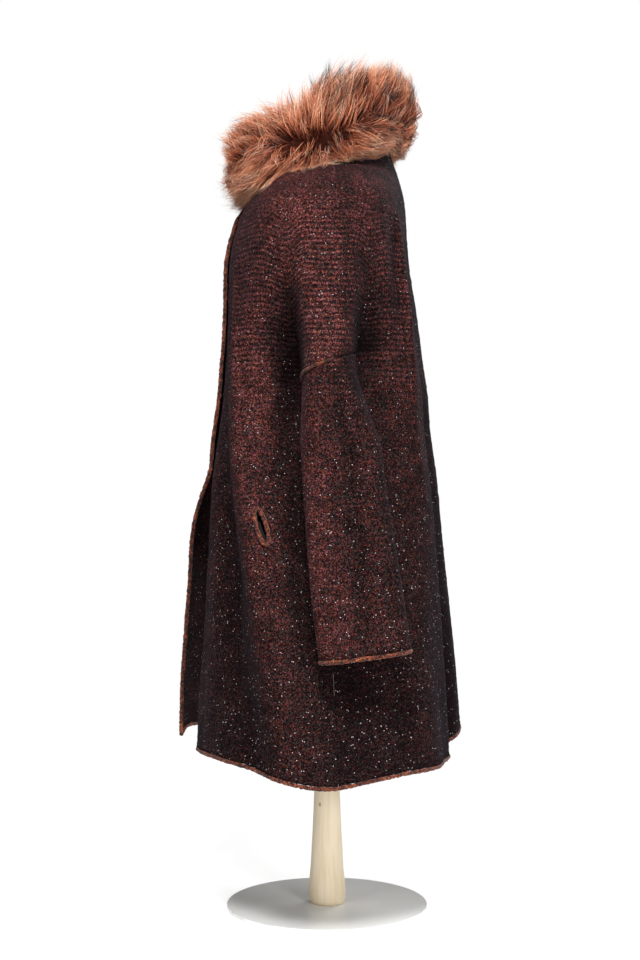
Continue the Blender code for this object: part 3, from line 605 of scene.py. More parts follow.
def back_grid(below):
    """The back's outer points, from the left side seam round to the right one."""
    steps = steps_down(below)[:, None]
    guess = level_at(SEAM_GUESS, steps, below)
    halves = []
    for side in (LEFT, RIGHT):
        seam = read(SEAM, "seam", guess) + seam_allow(guess, below, side)
        head = seam + (BACK_VALLEY_ANGLE - seam) * np.linspace(0, 1, SLEEVE_HEAD_COLUMNS + 1)
        body = BACK_VALLEY_ANGLE + (180 - BACK_VALLEY_ANGLE) * np.linspace(0, 1, BACK_COLUMNS + 1)
        angles = np.hstack([head, np.broadcast_to(body[1:], (len(steps), BACK_COLUMNS))])
        halves.append(coat_point(side, angles, level_at(angles, steps, below), below))
    left, right = halves
    middle = (left[:, -1:] + right[:, -1:]) / 2
    return np.hstack([left[:, :-1], middle, right[:, -2::-1]])


def seam_allow(height, below, side):
    """Half the seam's gap, as an angle."""
    radius = skirt_radius(90.0, height, side) if below else yoke_radius(90.0, height)
    return np.degrees(SEAM_HALF_GAP / radius)


def unit(vectors):
    """The vectors at length 1."""
    return vectors / np.maximum(np.linalg.norm(vectors, axis=-1, keepdims=True), 1e-9)


def linked(name, data):
    """A new object in the scene."""
    thing = bpy.data.objects.new(name, data)
    bpy.context.scene.collection.objects.link(thing)
    return thing


def mesh_of(name, points, faces, attributes=None):
    """An object with a smooth mesh from arrays of points and of equal faces, without unused points."""
    corners = faces.shape[1]
    used, faces = np.unique(faces, return_inverse=True)
    faces = faces.reshape(-1, corners)
    points = np.asarray(points, float).reshape(-1, 3)[used]
    data = bpy.data.meshes.new(name)
    data.vertices.add(len(points))
    data.vertices.foreach_set("co", points.astype(np.float32).ravel())
    data.loops.add(faces.size)
    data.loops.foreach_set("vertex_index", faces.astype(np.int32).ravel())
    data.polygons.add(len(faces))
    data.polygons.foreach_set("loop_start", np.arange(0, faces.size, corners, dtype=np.int32))
    for key, values in (attributes or {}).items():
        kind, field = ("FLOAT", "value") if values.ndim == 1 else ("FLOAT_VECTOR", "vector")
        values = values[used].astype(np.float32)
        data.attributes.new(key, kind, "POINT").data.foreach_set(field, values.ravel())
    data.update(calc_edges=True)
    data.validate()
    data.shade_smooth()
    return linked(name, data)


def closed_over(points, faces, ring, flip):
    """The points and faces again, with a ring closed by faces round its middle."""
    outer = np.append(ring, ring[:1])
    if flip:
        outer = outer[::-1]
    tip = np.full(len(ring) // 2, len(points))
    caps = np.stack([outer[:-2:2], outer[1:-1:2], outer[2::2], tip], -1)
    return np.vstack([points, points[ring].mean(0)]), np.vstack([faces, caps])


def numbered(rows, start=0):
    """A number for each point of a grid, in the grid's shape."""
    return start + np.arange(rows.shape[0] * rows.shape[1]).reshape(rows.shape[:2])


def grid_faces(index, flip, closed=False):
    """Faces over a grid of point numbers, rows down and columns across."""
    if closed:
        index = np.hstack([index, index[:, :1]])
    high, low = index[:-1], index[1:]
    corners = [high[:, :-1], low[:, :-1], low[:, 1:], high[:, 1:]]
    if flip:
        corners = corners[::-1]
    return np.stack(corners, -1).reshape(-1, 4)


def raised_nap(points, seed, closed=False):
    """The points with the small unevenness of looped wool, along the face's normal."""
    wrapped = np.concatenate([points[:, -1:], points, points[:, :1]], 1) if closed else points
    across = np.gradient(wrapped, axis=1)
    down = np.gradient(wrapped, axis=0)
    normal = unit(np.cross(down, across))
    if closed:
        normal = normal[:, 1:-1]
    rough = np.random.default_rng(seed).normal(0, NAP, points.shape[:2])
    return points + normal * np.clip(rough, -NAP_MOST, NAP_MOST)[..., None]


def run_down(points, first_row):
    """How far down the cloth each point lies, counted level from one height."""
    steps = np.linalg.norm(np.diff(points, axis=0), axis=-1)
    run = np.vstack([np.zeros(points.shape[1]), np.cumsum(steps, axis=0)])
    return run - run[first_row] + COURSE_ZERO - points[first_row, :, 2]


def standing_out(points):
    """How far each point stands out from the level round of cloth on both sides of it."""
    reach = np.hypot(points[..., 0], points[..., 1])
    half = reach.shape[1] // 5
    padded = np.pad(reach, ((0, 0), (half, half)), mode="edge")
    run = np.cumsum(np.pad(padded, ((0, 0), (1, 0))), axis=1)
    around = (run[:, 2 * half + 1 :] - run[:, : -2 * half - 1]) / (2 * half + 1)
    return np.clip(reach - around, -VALLEY_MOST, CREST_MOST)


def finish_cloth(thing, name_of_node, thickness=CLOTH, outward=-1.0):
    """Gives the face its thickness, and lets it stand for its solid."""
    wall = thing.modifiers.new("wall", "SOLIDIFY")
    wall.thickness = thickness
    wall.offset = outward
    wall.use_even_offset = False
    return dress(thing, name_of_node)


def dress(thing, *nodes):
    """Lets a piece ride with the row and stand for its solids."""
    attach(thing, "root")
    if nodes:
        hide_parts(*nodes)
    return thing


def panel(name, node, upper, lower, split, flip, seed, tone=0.0):
    """A panel whose upper and lower parts share the armhole's row except at the split columns."""
    above = numbered(upper)
    below = numbered(lower, above.size)
    below[0, ~split] = above[-1, ~split]
    napped = raised_nap(upper, seed), raised_nap(lower, seed + 1)
    points = np.vstack([part.reshape(-1, 3) for part in napped])
    down = np.concatenate([run_down(upper, -1).ravel(), run_down(lower, 0).ravel()])
    crests = np.concatenate([standing_out(upper).ravel(), standing_out(lower).ravel()])
    # Painted shading in the colour: painted shade towards the hem, painted highlight on the cloth's crests
    # and painted shade in its valleys, and the tone, which on the back is painted shade
    marl = np.interp(points[:, 2], PAINTED_SHADE_HEIGHTS, PAINTED_SHADE_LEVELS) + CREST_HIGHLIGHT_VALLEY_SHADE * crests + tone
    faces = np.vstack([grid_faces(above, flip), grid_faces(below, flip)])
    return finish_cloth(mesh_of(name, points, faces, {"down": down, "marl": marl}), node)


def directions(path, closed):
    """The way that a path runs at each of its points."""
    return unit(np.roll(path, -1, 0) - np.roll(path, 1, 0)) if closed else unit(np.gradient(path, axis=0))


def edge_path(edge, inside, past, closed=False):
    """The centreline of a thin roll just past an edge of the cloth."""
    along = directions(edge, closed)
    centre = edge - edge.mean(0) if closed else edge * (1, 1, 0)
    away = edge - inside
    away = unit(away - along * (away * along).sum(-1, keepdims=True))
    normal = np.cross(away, along)
    normal *= np.sign((normal * centre).sum(-1, keepdims=True))
    return edge - normal * CLOTH / 2 + away * past


def yarn_roll(name, path, radius, seed, closed=False, node=None, taper=0.0, sides=10, lumps=0.16):
    """A lumpy roll of yarn along a path."""
    path = spaced(path, radius * ROLL_STEP, closed)
    along = directions(path, closed)
    cross = [unit(np.cross(along[0], OFF_AXES))]
    for step in along[1:]:
        last = cross[-1] - step * cross[-1].dot(step)
        cross.append(last / np.linalg.norm(last))
    cross = np.array(cross)
    other = np.cross(along, cross)
    random = np.random.default_rng(seed)
    turn = np.linspace(0, 2 * np.pi, sides, endpoint=False)
    size = radius * (1 + random.normal(0, lumps, (len(path), sides)).clip(*ROLL_LUMPS))
    if taper:
        share = np.linspace(0, 1, len(path))
        size *= np.sin(np.pi * share.clip(*ROLL_ENDS))[:, None] ** taper
    spokes = cross[:, None] * np.cos(turn)[:, None] + other[:, None] * np.sin(turn)[:, None]
    rings = path[:, None] + spokes * size[..., None]
    index = numbered(rings)
    if closed:
        index = np.vstack([index, index[:1]])
    points, faces = rings.reshape(-1, 3), grid_faces(index, False, True)
    if not closed:
        points, faces = closed_over(points, faces, index[0], False)
        points, faces = closed_over(points, faces, index[-1], True)
    thing = mesh_of(name, points, faces)
    return dress(thing, *([node] if node else []))


def spaced(path, step, closed):
    """The path again with points about a step apart."""
    path = np.vstack([path, path[:1]]) if closed else path
    run = np.concatenate([[0], np.cumsum(np.linalg.norm(np.diff(path, axis=0), axis=-1))])
    at = np.linspace(0, run[-1], max(int(run[-1] / step), 4) + 1)
    found = np.stack([np.interp(at, run, path[:, k]) for k in range(3)], -1)
    return found[:-1] if closed else found


def make_front(side):
    """A front with the pocket's mouth cut through it, and the roll of yarn along its edge and hem."""
    name = SIDE_NAMES[side]
    upper, lower = front_grid(side, False), front_grid(side, True)
    split = np.arange(upper.shape[1]) > FRONT_COLUMNS
    seed = FRONT_SEED + side
    front = panel(f"front_{name}_knit", f"front_{name}", upper, lower, split, side == RIGHT, seed)
    cut_mouth(front, side)
    past = EDGE_ROLL + GAP
    edge = np.vstack([upper[:, :2], lower[1:, :2]])
    down_edge = edge_path(edge[:, 0], edge[:, 1], past)
    hem = edge_path(lower[-1], lower[-2], past)
    corner = down_edge[-1] + hem[0] - edge_path(edge[:, 0], edge[:, 1], 0.0)[-1]
    path = np.vstack([down_edge[:-1], corner, hem[1:]])
    seed = FRONT_YARN_SEED + side
    yarn = yarn_roll(f"front_yarn_{name}", path, YARN_ROLL, seed, node=f"front_edging_{name}")
    return front, yarn


def make_back():
    """The back and the roll of yarn along its hem."""
    upper, lower = back_grid(False), back_grid(True)
    place_of = np.arange(upper.shape[1])
    split = (place_of < SLEEVE_HEAD_COLUMNS) | (place_of > len(place_of) - 1 - SLEEVE_HEAD_COLUMNS)
    # The back is given painted shade all over
    back = panel("back_knit", "back", upper, lower, split, False, BACK_SEED, BACK_PAINTED_SHADE)
    hem = edge_path(lower[-1], lower[-2], EDGE_ROLL + GAP)
    return back, yarn_roll("back_yarn", hem, YARN_ROLL, BACK_YARN_SEED, node="back_edging")


def sleeve_top(side):
    """The sleeve's top ring: the sleeve head's lower edge outside, and straight across inside."""
    angles = np.linspace(
        FRONT_VALLEY_ANGLE + SLEEVE_START, BACK_VALLEY_ANGLE - SLEEVE_START, SLEEVE_OUTER_STEPS + 1
    )
    heights = level_at(angles, 0, False)
    outer = coat_point(side, angles, heights, False) - (0, 0, SLEEVE_HEAD_GAP)
    share = np.arange(1, SLEEVE_INNER_STEPS)[:, None] / SLEEVE_INNER_STEPS
    inner = outer[-1] + (outer[0] - outer[-1]) * share
    wall = skirt_radius(90.0, inner[:, 2], side) + CLOTH
    bulge = np.sin(np.pi * share[:, 0])
    inner[:, 0] += side * (wall - np.abs(inner[:, 0])) * bulge * SLEEVE_BULGE
    return np.vstack([outer, inner])


def sleeve_creases(share, height):
    """How far the sleeve's creases stand out on its outer face."""
    total = 0.0
    for high_share, high, low_share, low, width, depth in SLEEVE_CREASE_ROWS:
        down = np.clip((high - height) / (high - low), 0.0, 1.0)
        middle = high_share + (low_share - high_share) * down
        total = total + depth * np.sqrt(np.sin(np.pi * down)) * bell(share - middle, width)
    return total


def make_sleeve(side):
    """A hanging sleeve, open at both ends, the roll round its cuff and the yarn along its head's seam."""
    name = SIDE_NAMES[side]
    top = sleeve_top(side)
    highest, lowest = top[:, 2].mean(), (CUFF_FRONT + CUFF_BACK) / 2
    turns = np.pi * np.arange(SLEEVE_OUTER_STEPS + 1) / SLEEVE_OUTER_STEPS
    turns = np.concatenate([turns, np.pi * (1 + np.arange(1, SLEEVE_INNER_STEPS) / SLEEVE_INNER_STEPS)])
    along, across = -np.cos(turns), np.sin(turns)
    size = np.abs(along) ** SLEEVE_SQUARENESS + np.abs(across) ** SLEEVE_SQUARENESS
    size = size ** (-1 / SLEEVE_SQUARENESS)
    share = np.linspace(0, 1, SLEEVE_LEVELS + 1)[:, None]
    height = highest + (lowest - highest) * share
    out, back, thick, wide = (read(SLEEVE, column, height) for column in SLEEVE_COLUMNS[1:])
    y = back + along * size * wide
    slope = (y - back + wide) / (2 * wide)
    crease = sleeve_creases(slope, height) * np.clip(across * 2, 0, 1)
    x = side * (out + across * size * thick + crease)
    z = top[:, 2] + (CUFF_FRONT + (CUFF_BACK - CUFF_FRONT) * slope - top[:, 2]) * share
    kept = top[:, 0] + side * (read(SLEEVE, "out", height) - SLEEVE["out"][-1])
    blend = ease((highest - height) / SLEEVE_BLEND)
    rows = np.stack(
        [kept + (x - kept) * blend, top[:, 1] + (y - top[:, 1]) * blend, np.broadcast_to(z, y.shape)], -1
    )
    rows[0] = top
    faces = grid_faces(numbered(rows), side == RIGHT, True)
    points = raised_nap(rows, SLEEVE_SEED + side, True).reshape(-1, 3)
    # Painted light on the sleeve: lighter at the front, painted shade towards the back and in the dents,
    # painted highlight on the raised creases
    marl = (SLEEVE_PAINTED_LIGHT + SLEEVE_BACK_PAINTED_SHADE * slope + SLEEVE_CREASE_HIGHLIGHT_SHADE * crease).ravel()
    sleeve = mesh_of(f"sleeve_{name}_knit", points, faces, {"down": run_down(rows, 0).ravel(), "marl": marl})
    finish_cloth(sleeve, f"sleeve_{name}")
    cuff = edge_path(rows[-1], rows[-2], EDGE_ROLL + GAP, True)
    cuff = yarn_roll(f"cuff_yarn_{name}", cuff, YARN_ROLL, CUFF_SEED + side, True, f"cuff_edging_{name}")
    return sleeve, cuff, make_seam_yarn(side)


def make_seam_yarn(side):
    """The yarn along the front half of the sleeve head's seam, thin at both ends."""
    angles = np.linspace(FRONT_VALLEY_ANGLE + 1.0, SEAM_YARN_END, SEAM_YARN_POINTS)
    seam = coat_point(side, angles, level_at(angles, 0, False), False, -SEAM_YARN_OUT)
    name = f"sleeve_seam_yarn_{SIDE_NAMES[side]}"
    return yarn_roll(name, seam, SEAM_YARN, SEAM_SEED + side, taper=0.35, lumps=0.24)


def mouth_place(share, rise):
    """Angle and height of a point of the pocket mouth: share runs along it, rise is up from its line."""
    angle = MOUTH_INNER_ANGLE + (MOUTH_OUTER_ANGLE - MOUTH_INNER_ANGLE) * share
    return angle, MOUTH_INNER_HEIGHT + (MOUTH_OUTER_HEIGHT - MOUTH_INNER_HEIGHT) * share + rise


def mouth_outline(count, half_open, past=0.0):
    """Places round the mouth's lens, as (share, rise)."""
    turn = 2 * np.pi * np.arange(count) / count
    return 0.5 - (0.5 + past) * np.cos(turn), half_open * np.sin(turn)


def cut_mouth(front, side):
    """Cuts the pocket's mouth through the front."""
    name = f"mouth_cutter_{SIDE_NAMES[side]}"
    angle, height = mouth_place(*mouth_outline(MOUTH_CORNERS, MOUTH_HALF_OPEN))
    mesh = bmesh.new()
    outer, inner = (
        [mesh.verts.new(p) for p in coat_point(side, angle, height, True, depth)] for depth in CUTTER_DEPTHS
    )
    for i in range(len(outer)):
        j = (i + 1) % len(outer)
        mesh.faces.new((outer[i], outer[j], inner[j], inner[i]))
    for ring in (outer, inner):
        for i in range(len(ring) // 2):
            corners = [ring[i], ring[i + 1], ring[(-i - 1) % len(ring)], ring[-i % len(ring)]]
            mesh.faces.new([v for k, v in enumerate(corners) if v not in corners[:k]])
    bmesh.ops.recalc_face_normals(mesh, faces=mesh.faces)
    data = bpy.data.meshes.new(name)
    mesh.to_mesh(data)
    mesh.free()
    cutter = linked(name, data)
    cut = front.modifiers.new("mouth", "BOOLEAN")
    cut.operation = "DIFFERENCE"
    cut.object = cutter
    bpy.context.view_layer.update()
    applied = bpy.data.meshes.new_from_object(front.evaluated_get(bpy.context.evaluated_depsgraph_get()))
    front.modifiers.clear()
    front.data = applied
    front.data.shade_smooth()
    bpy.data.objects.remove(cutter, do_unlink=True)


def make_pocket(side):
    """The yarn round a pocket's mouth, and the bag behind it."""
    name = SIDE_NAMES[side]
    outline = mouth_outline(RIM_POINTS, MOUTH_HALF_OPEN + EDGE_ROLL * RIM_SHARE, RIM_PAST)
    rim = coat_point(side, *mouth_place(*outline), True, -(EDGE_ROLL + RIM_CLEAR) * RIM_SHARE)
    rim = yarn_roll(f"pocket_rim_yarn_{name}", rim, RIM_ROLL, RIM_SEED + side, True, f"pocket_rim_{name}")
    down = np.linspace(0, 1, BAG_LEVELS + 1)[:, None]
    turn = 2 * np.pi * np.arange(BAG_COLUMNS) / BAG_COLUMNS
    along, out = -0.5 * np.cos(turn), np.sin(turn)
    angle = mouth_place(0.5 + along * (1 + BAG_WIDENS * down), 0.0)[0]
    lip = np.where(out < 0, BAG_LIP_INSIDE, BAG_LIP_OUTSIDE) * np.abs(out)
    height = mouth_place(0.5 + along * (1 - down), lip * (1 - down))[1] - BAG_DEPTH * down
    behind = BAG_BEHIND[side] - BAG_HALF_OPEN * out * (1 - BAG_FLATTENS * down)
    radius = skirt_radius(angle, height, side) + lap(angle, height, side) - behind
    rows = place(side, angle, radius, height)
    index = numbered(rows)
    faces = grid_faces(index, side == RIGHT, True)
    bag = mesh_of(f"pocket_cloth_{name}", *closed_over(rows.reshape(-1, 3), faces, index[-1], side == LEFT))
    finish_cloth(bag, f"pocket_bag_{name}", POCKET_CLOTH, 0.0)
    return rim, bag


def shoulder_table():
    """The coat's shoulder heights over a grid of angles and distances from the axis."""
    angles = np.linspace(0, 180, SHOULDER_ANGLES)
    distances = np.linspace(SHOULDER_FROM, SHOULDER_REACH, SHOULDER_DISTANCES)
    grid_angle, grid_distance = np.meshgrid(angles, distances, indexing="ij")
    high = level_at(grid_angle, 1.0, False)
    low = np.full_like(high, SHOULDER_LOWEST)
    inside = grid_distance <= yoke_radius(grid_angle, high)
    top = high.copy()
    for _ in range(HALVINGS):
        middle = (low + high) / 2
        wide = yoke_radius(grid_angle, middle) > grid_distance
        low, high = np.where(wide, middle, low), np.where(wide, high, middle)
    return np.where(inside, top, high)


def shoulder_height(angle, distance):
    """The coat's height under points of the fur."""
    a = np.clip(angle / SHOULDER_ANGLE_STEP, 0, SHOULDER_ANGLES - 1.001)
    d = np.clip((distance - SHOULDER_FROM) / SHOULDER_STEP, 0, SHOULDER_DISTANCES - 1.001)
    i, j = a.astype(int), d.astype(int)
    s, t = a - i, d - j
    low = SHOULDER[i, j] * (1 - t) + SHOULDER[i, j + 1] * t
    high = SHOULDER[i + 1, j] * (1 - t) + SHOULDER[i + 1, j + 1] * t
    return low * (1 - s) + high * s


SHOULDER = shoulder_table()


def folded(turn):
    """The angle from the centre front of a turn that runs from 0 to 360 by way of the back."""
    return 180 - np.abs(180 - turn % 360)


def kept_clear(points, lift):
    """Points of the fur, raised off the shoulder and held outside the form's neck."""
    turn = np.degrees(np.arctan2(points[..., 0], -points[..., 1])) % 360
    distance = np.hypot(points[..., 0], points[..., 1])
    angle = folded(turn)
    neck = form_radius(angle, points[..., 2]) + NECK_CLEAR
    scale = np.maximum(neck / np.maximum(distance, 0.001), 1.0)
    points = points * np.stack([scale, scale, np.ones_like(scale)], -1)
    distance = distance * scale
    lapped = np.where(turn > 180, lap(angle, points[..., 2], RIGHT), 0.0)
    floor = shoulder_height(angle, distance - lapped) + lift
    points[..., 2] = np.maximum(points[..., 2], floor)
    return points


def collar_target(turn, section):
    """Points of the collar's outer form, at turns round the neck and round its own section."""
    angle = folded(turn)
    reach, height, across, tall = (read(COLLAR, name, angle) for name in COLLAR_COLUMNS[1:])
    end = np.clip((angle - 1.0) / 8.0, 0.0, 1.0)
    across, tall = across * (0.72 + 0.28 * end), tall * (0.72 + 0.28 * end)
    return place(LEFT, turn, reach + across * np.cos(section), height + tall * np.sin(section))


def root_point(turn, section, grow=1.0):
    """Points of the roll that the fur grows from."""
    reach, height, thick = (read(ROOT, name, folded(turn)) for name in ROOT_COLUMNS[1:])
    return place(LEFT, turn, reach + thick * grow * np.cos(section), height + thick * grow * np.sin(section))


def comb_locks(random, first, last):
    """The locks of a quarter: where each grows, its sweep, lean, reach and bend, and how dark it is."""
    turn = np.clip(random.uniform(first, last, LOCKS), FUR_END_ANGLE, 360 - FUR_END_ANGLE)
    section = random.uniform(-np.pi, np.pi, LOCKS)
    parted = section - PARTING_WAVER * np.sin(np.radians(turn * PARTING_WAVES + WAVER_START))
    front = np.clip(1 - folded(turn) / FRONT_END, 0, 1)
    hand, from_parting = np.sign(180 - turn), folded(turn) - PARTING
    fan = FAN * np.tanh(from_parting / FAN_RISE) * bell(from_parting, FAN_WIDTH)
    sweep = random.normal(0, SWEEP_SPREAD, LOCKS) + hand * (fan - front * FRONT_SWEEP)
    lean = LEAN * np.sign(parted) * bell(parted, 1.0) * bell(from_parting, LEAN_WIDTH)
    lean = lean + random.normal(0, LEAN_SPREAD, LOCKS)
    reach = random.uniform(*LOCK_REACH, LOCKS) * (1 - PARTING_DIP * bell(parted, PARTING_WIDTH))
    reach *= 1 + FRONT_REACH * front**0.5
    lobe = bell(section - LOBE_SECTION[0], LOBE_SECTION[1])
    reach *= 1 + LOBE_REACH * lobe * bell(from_parting - LOBE_ANGLE[0], LOBE_ANGLE[1])
    bend = random.normal(0, LOCK_BEND, (LOCKS, 3))
    return turn, section, sweep, lean, reach, bend, random.random(LOCKS)


def grow_hairs(random, lock, turn, section, sweep, lean, reach, bend):
    """The middle line of each hair from root to tip, and the turn and the place of its tip."""
    count = len(lock)
    own_turn = turn[lock] + random.normal(0, ROOT_TURN_SPREAD, count)
    own_turn = np.clip(own_turn, FUR_END_ANGLE - 1.5, 361.5 - FUR_END_ANGLE)
    own_section = section[lock] + random.normal(0, ROOT_SECTION_SPREAD, count)
    root = root_point(own_turn, own_section, ROOT_DEPTH)
    tip_turn = turn[lock] + sweep[lock] + random.normal(0, TIP_TURN_SPREAD, count)
    tip_section = section[lock] + lean[lock] + random.normal(0, TIP_SECTION_SPREAD, count)
    tip = collar_target(tip_turn, tip_section)
    guard = random.random(count) < GUARD_SHARE
    length = reach[lock] * random.uniform(*HAIR_REACH, count) * np.where(guard, GUARD_REACH, 1.0)
    tip = root + (tip - root) * length[:, None]
    out = unit(root - root_point(own_turn, own_section, 0.0) + 1e-6)
    span = np.linalg.norm(tip - root, axis=-1, keepdims=True)
    knee = root + out * span * KNEE_OUT + bend[lock] + random.normal(0, KNEE_SPREAD, (count, 3))
    knee[:, 2] += KNEE_LIFT
    share = np.array(HAIR_STEPS)[None, :, None]
    left = 1 - share
    line = root[:, None] * left**2 + knee[:, None] * 2 * share * left + tip[:, None] * share**2
    line = kept_clear(line, FUR_LIFT + FUR_LIFT_SPREAD * random.random((count, 1)))
    line[..., 2] = np.minimum(line[..., 2], CAD_BOX[1].z + FUR_PAST_TOP)
    return line, tip_turn, tip


def ribbons(random, line):
    """A narrow ribbon along each hair, thinner towards its tip."""
    count, corners = len(line), 2 * len(HAIR_TAPER) + 1
    along = unit(np.gradient(line, axis=1))
    across = unit(np.cross(along, unit(random.normal(0, 1, (count, 1, 3)))))
    width = HAIR_WIDTH * random.uniform(*HAIR_WIDTHS, (count, 1, 1)) * np.array(HAIR_TAPER)[None, :, None]
    body, half = line[:, :-1], across[:, :-1] * width / 2
    pairs = np.stack([body - half, body + half], 2).reshape(count, -1, 3)
    points = np.concatenate([pairs, line[:, -1:]], 1)
    start = np.arange(count)[:, None, None] * corners
    return points.reshape(-1, 3), (start + np.array(HAIR_STRIP)).reshape(-1, 3)


def rising(value, start_and_width):
    """0 below a start, and 1 from one width above it."""
    start, width = start_and_width
    return np.clip((value - start) / width, 0, 1)


def hair_facts(random, dark, tip_turn, tip):
    """For each point of the hairs: its share of the length, the hair's tone, and whether its end is dark."""
    count = len(dark)
    near_back = rising(folded(tip_turn), DARK_BACK) * rising(tip[:, 2], DARK_BACK_HEIGHT)
    high = rising(tip[:, 2], DARK_TOP_HEIGHT)
    ends = np.clip(near_back * (dark > DARK_BACK_FROM) + high * (dark > DARK_TOP_FROM), 0, 1)
    ends = np.clip(ends * (random.random(count) < DARK_KEPT) + (random.random(count) < DARK_STRAY), 0, 1)
    tone = np.clip(dark * LOCK_TONE + random.random(count) * HAIR_TONE, 0, 1)
    along = np.append(np.repeat(HAIR_STEPS[:-1], 2), HAIR_STEPS[-1])
    facts = np.broadcast_arrays(along, tone[:, None], ends[:, None])
    return np.stack(facts, -1).reshape(-1, 3)


def make_fur(name, first, last, seed):
    """One quarter of the collar's fur: hairs in locks, each a narrow ribbon that ends in a point."""
    random = np.random.default_rng(seed)
    *growth, dark = comb_locks(random, first, last)
    lock = np.repeat(np.arange(LOCKS), HAIRS_IN_LOCK)
    line, tip_turn, tip = grow_hairs(random, lock, *growth)
    points, faces = ribbons(random, line)
    return dress(mesh_of(name, points, faces, {"hair": hair_facts(random, dark[lock], tip_turn, tip)}))


def make_fur_roll():
    """The roll under the fur, closed at both ends."""
    turn = np.linspace(FUR_END_ANGLE, 360 - FUR_END_ANGLE, 150)[:, None]
    section = np.linspace(0, 2 * np.pi, 28, endpoint=False)[None]
    size = np.sqrt(np.clip((folded(turn) - FUR_END_ANGLE + 0.5) / 6, 0.05, 1))
    rows = root_point(*np.broadcast_arrays(turn, section), 1.25 * size)
    rows = kept_clear(rows, 0.002)
    index = numbered(rows)
    points, faces = closed_over(rows.reshape(-1, 3), grid_faces(index, True, True), index[0], True)
    return dress(mesh_of("fur_roll", *closed_over(points, faces, index[-1], False)), "fur_collar")


def form_radius(angle, height):
    """The dress form's distance from the axis, just inside the coat's shoulders."""
    size = [read(FORM, name, height) for name in FORM_COLUMNS[1:]]
    own = oval(angle, *size, FORM_SQUARENESS)
    nudge = 0.002
    slope = (yoke_radius(angle, height + nudge) - yoke_radius(angle, height - nudge)) / (2 * nudge)
    inside = yoke_radius(angle, height) - (CLOTH + FORM_CLEAR) * np.hypot(1, slope)
    free = (height > level_at(angle, 1.0, False) - 0.002) | (height < 0.9)
    own = np.where(free, own, np.minimum(own, inside))
    return np.where((height > FORM["height"][-1]) | (height < FORM_BOTTOM), 0.0, own)


def make_form():
    """The limbless dress form: one smooth closed body from the hips to the neck."""
    knots = FORM["height"][::-1]
    heights = np.concatenate([np.linspace(a, b, 6, endpoint=False) for a, b in zip(knots, knots[1:])])
    heights = np.append(heights, knots[-1])[:, None]
    turn = np.arange(0, 360, 4.0)[None]
    rows = place(LEFT, turn, form_radius(folded(turn), heights), heights)
    index = numbered(rows)
    points, faces = closed_over(rows.reshape(-1, 3), grid_faces(index, False, True), index[0], False)
    return dress(mesh_of("form_covered", *closed_over(points, faces, index[-1], True)), "dress_form")


def turned(name, profile, node, sides=72):
    """A turned piece from its profile of (radius, height), bottom to top."""
    profile = np.array(profile[::-1])
    turn = np.arange(sides) * 360 / sides
    rows = place(LEFT, turn[None], np.maximum(profile[:, :1], 1e-5), profile[:, 1:])
    thing = mesh_of(name, rows.reshape(-1, 3), grid_faces(numbered(rows), False, True))
    clean = bmesh.new()
    clean.from_mesh(thing.data)
    bmesh.ops.remove_doubles(clean, verts=clean.verts, dist=5e-5)
    clean.to_mesh(thing.data)
    clean.free()
    return dress(thing, node)


def make_stand():
    """The wooden post and the round plate under it."""
    foot, top = PLATE_THICK + GAP, FORM_BOTTOM - GAP
    heights = np.linspace(0, top - foot, 60)
    ease_in = 0.0012 * np.exp(-heights / 0.002)
    sides = list(zip(read(POST, "radius", heights) - ease_in, heights + foot))
    post = [(0.0, foot)] + sides + [(0.0, top)]
    turns = np.radians(np.linspace(0, 90, 7))
    rim = [
        (PLATE_RADIUS - PLATE_BEVEL * (1 - math.sin(t)), PLATE_THICK - PLATE_BEVEL * (1 - math.cos(t)))
        for t in turns[::-1]
    ]
    under = [(r, PLATE_THICK - z) for r, z in rim[::-1]]
    plate = [(0.0, 0.0)] + under + rim + [(0.0, PLATE_THICK)]
    return turned("turned_post", post, "post"), turned("round_plate", plate, "base_plate", 144)


def srgb(*levels):
    """A colour given in 0 to 255 levels, in linear light."""
    shares = [v / 255 for v in levels]
    return tuple(v / 12.92 if v <= 0.04045 else ((v + 0.055) / 1.055) ** 2.4 for v in shares) + (1.0,)


class Level:
    """A number that varies over a surface. Arithmetic on it adds Math nodes."""

    def __init__(self, finish, socket):
        self.finish, self.socket = finish, socket

    def maths(self, operation, *others, flip=False):
        terms = (*others, self) if flip else (self, *others)
        node = self.finish.node("ShaderNodeMath", {"operation": operation}, dict(enumerate(terms)))
        return Level(self.finish, node.outputs[0])

    def __add__(self, other):
        return self.maths("ADD", other)

    def __sub__(self, other):
        return self.maths("SUBTRACT", other)

    def __mul__(self, other):
        return self.maths("MULTIPLY", other)

    def __truediv__(self, other):
        return self.maths("DIVIDE", other)

    def __rsub__(self, other):
        return self.maths("SUBTRACT", other, flip=True)

    def __gt__(self, other):
        return self.maths("GREATER_THAN", other)

    def __lt__(self, other):
        return self.maths("LESS_THAN", other)

    __radd__ = __add__
    __rmul__ = __mul__


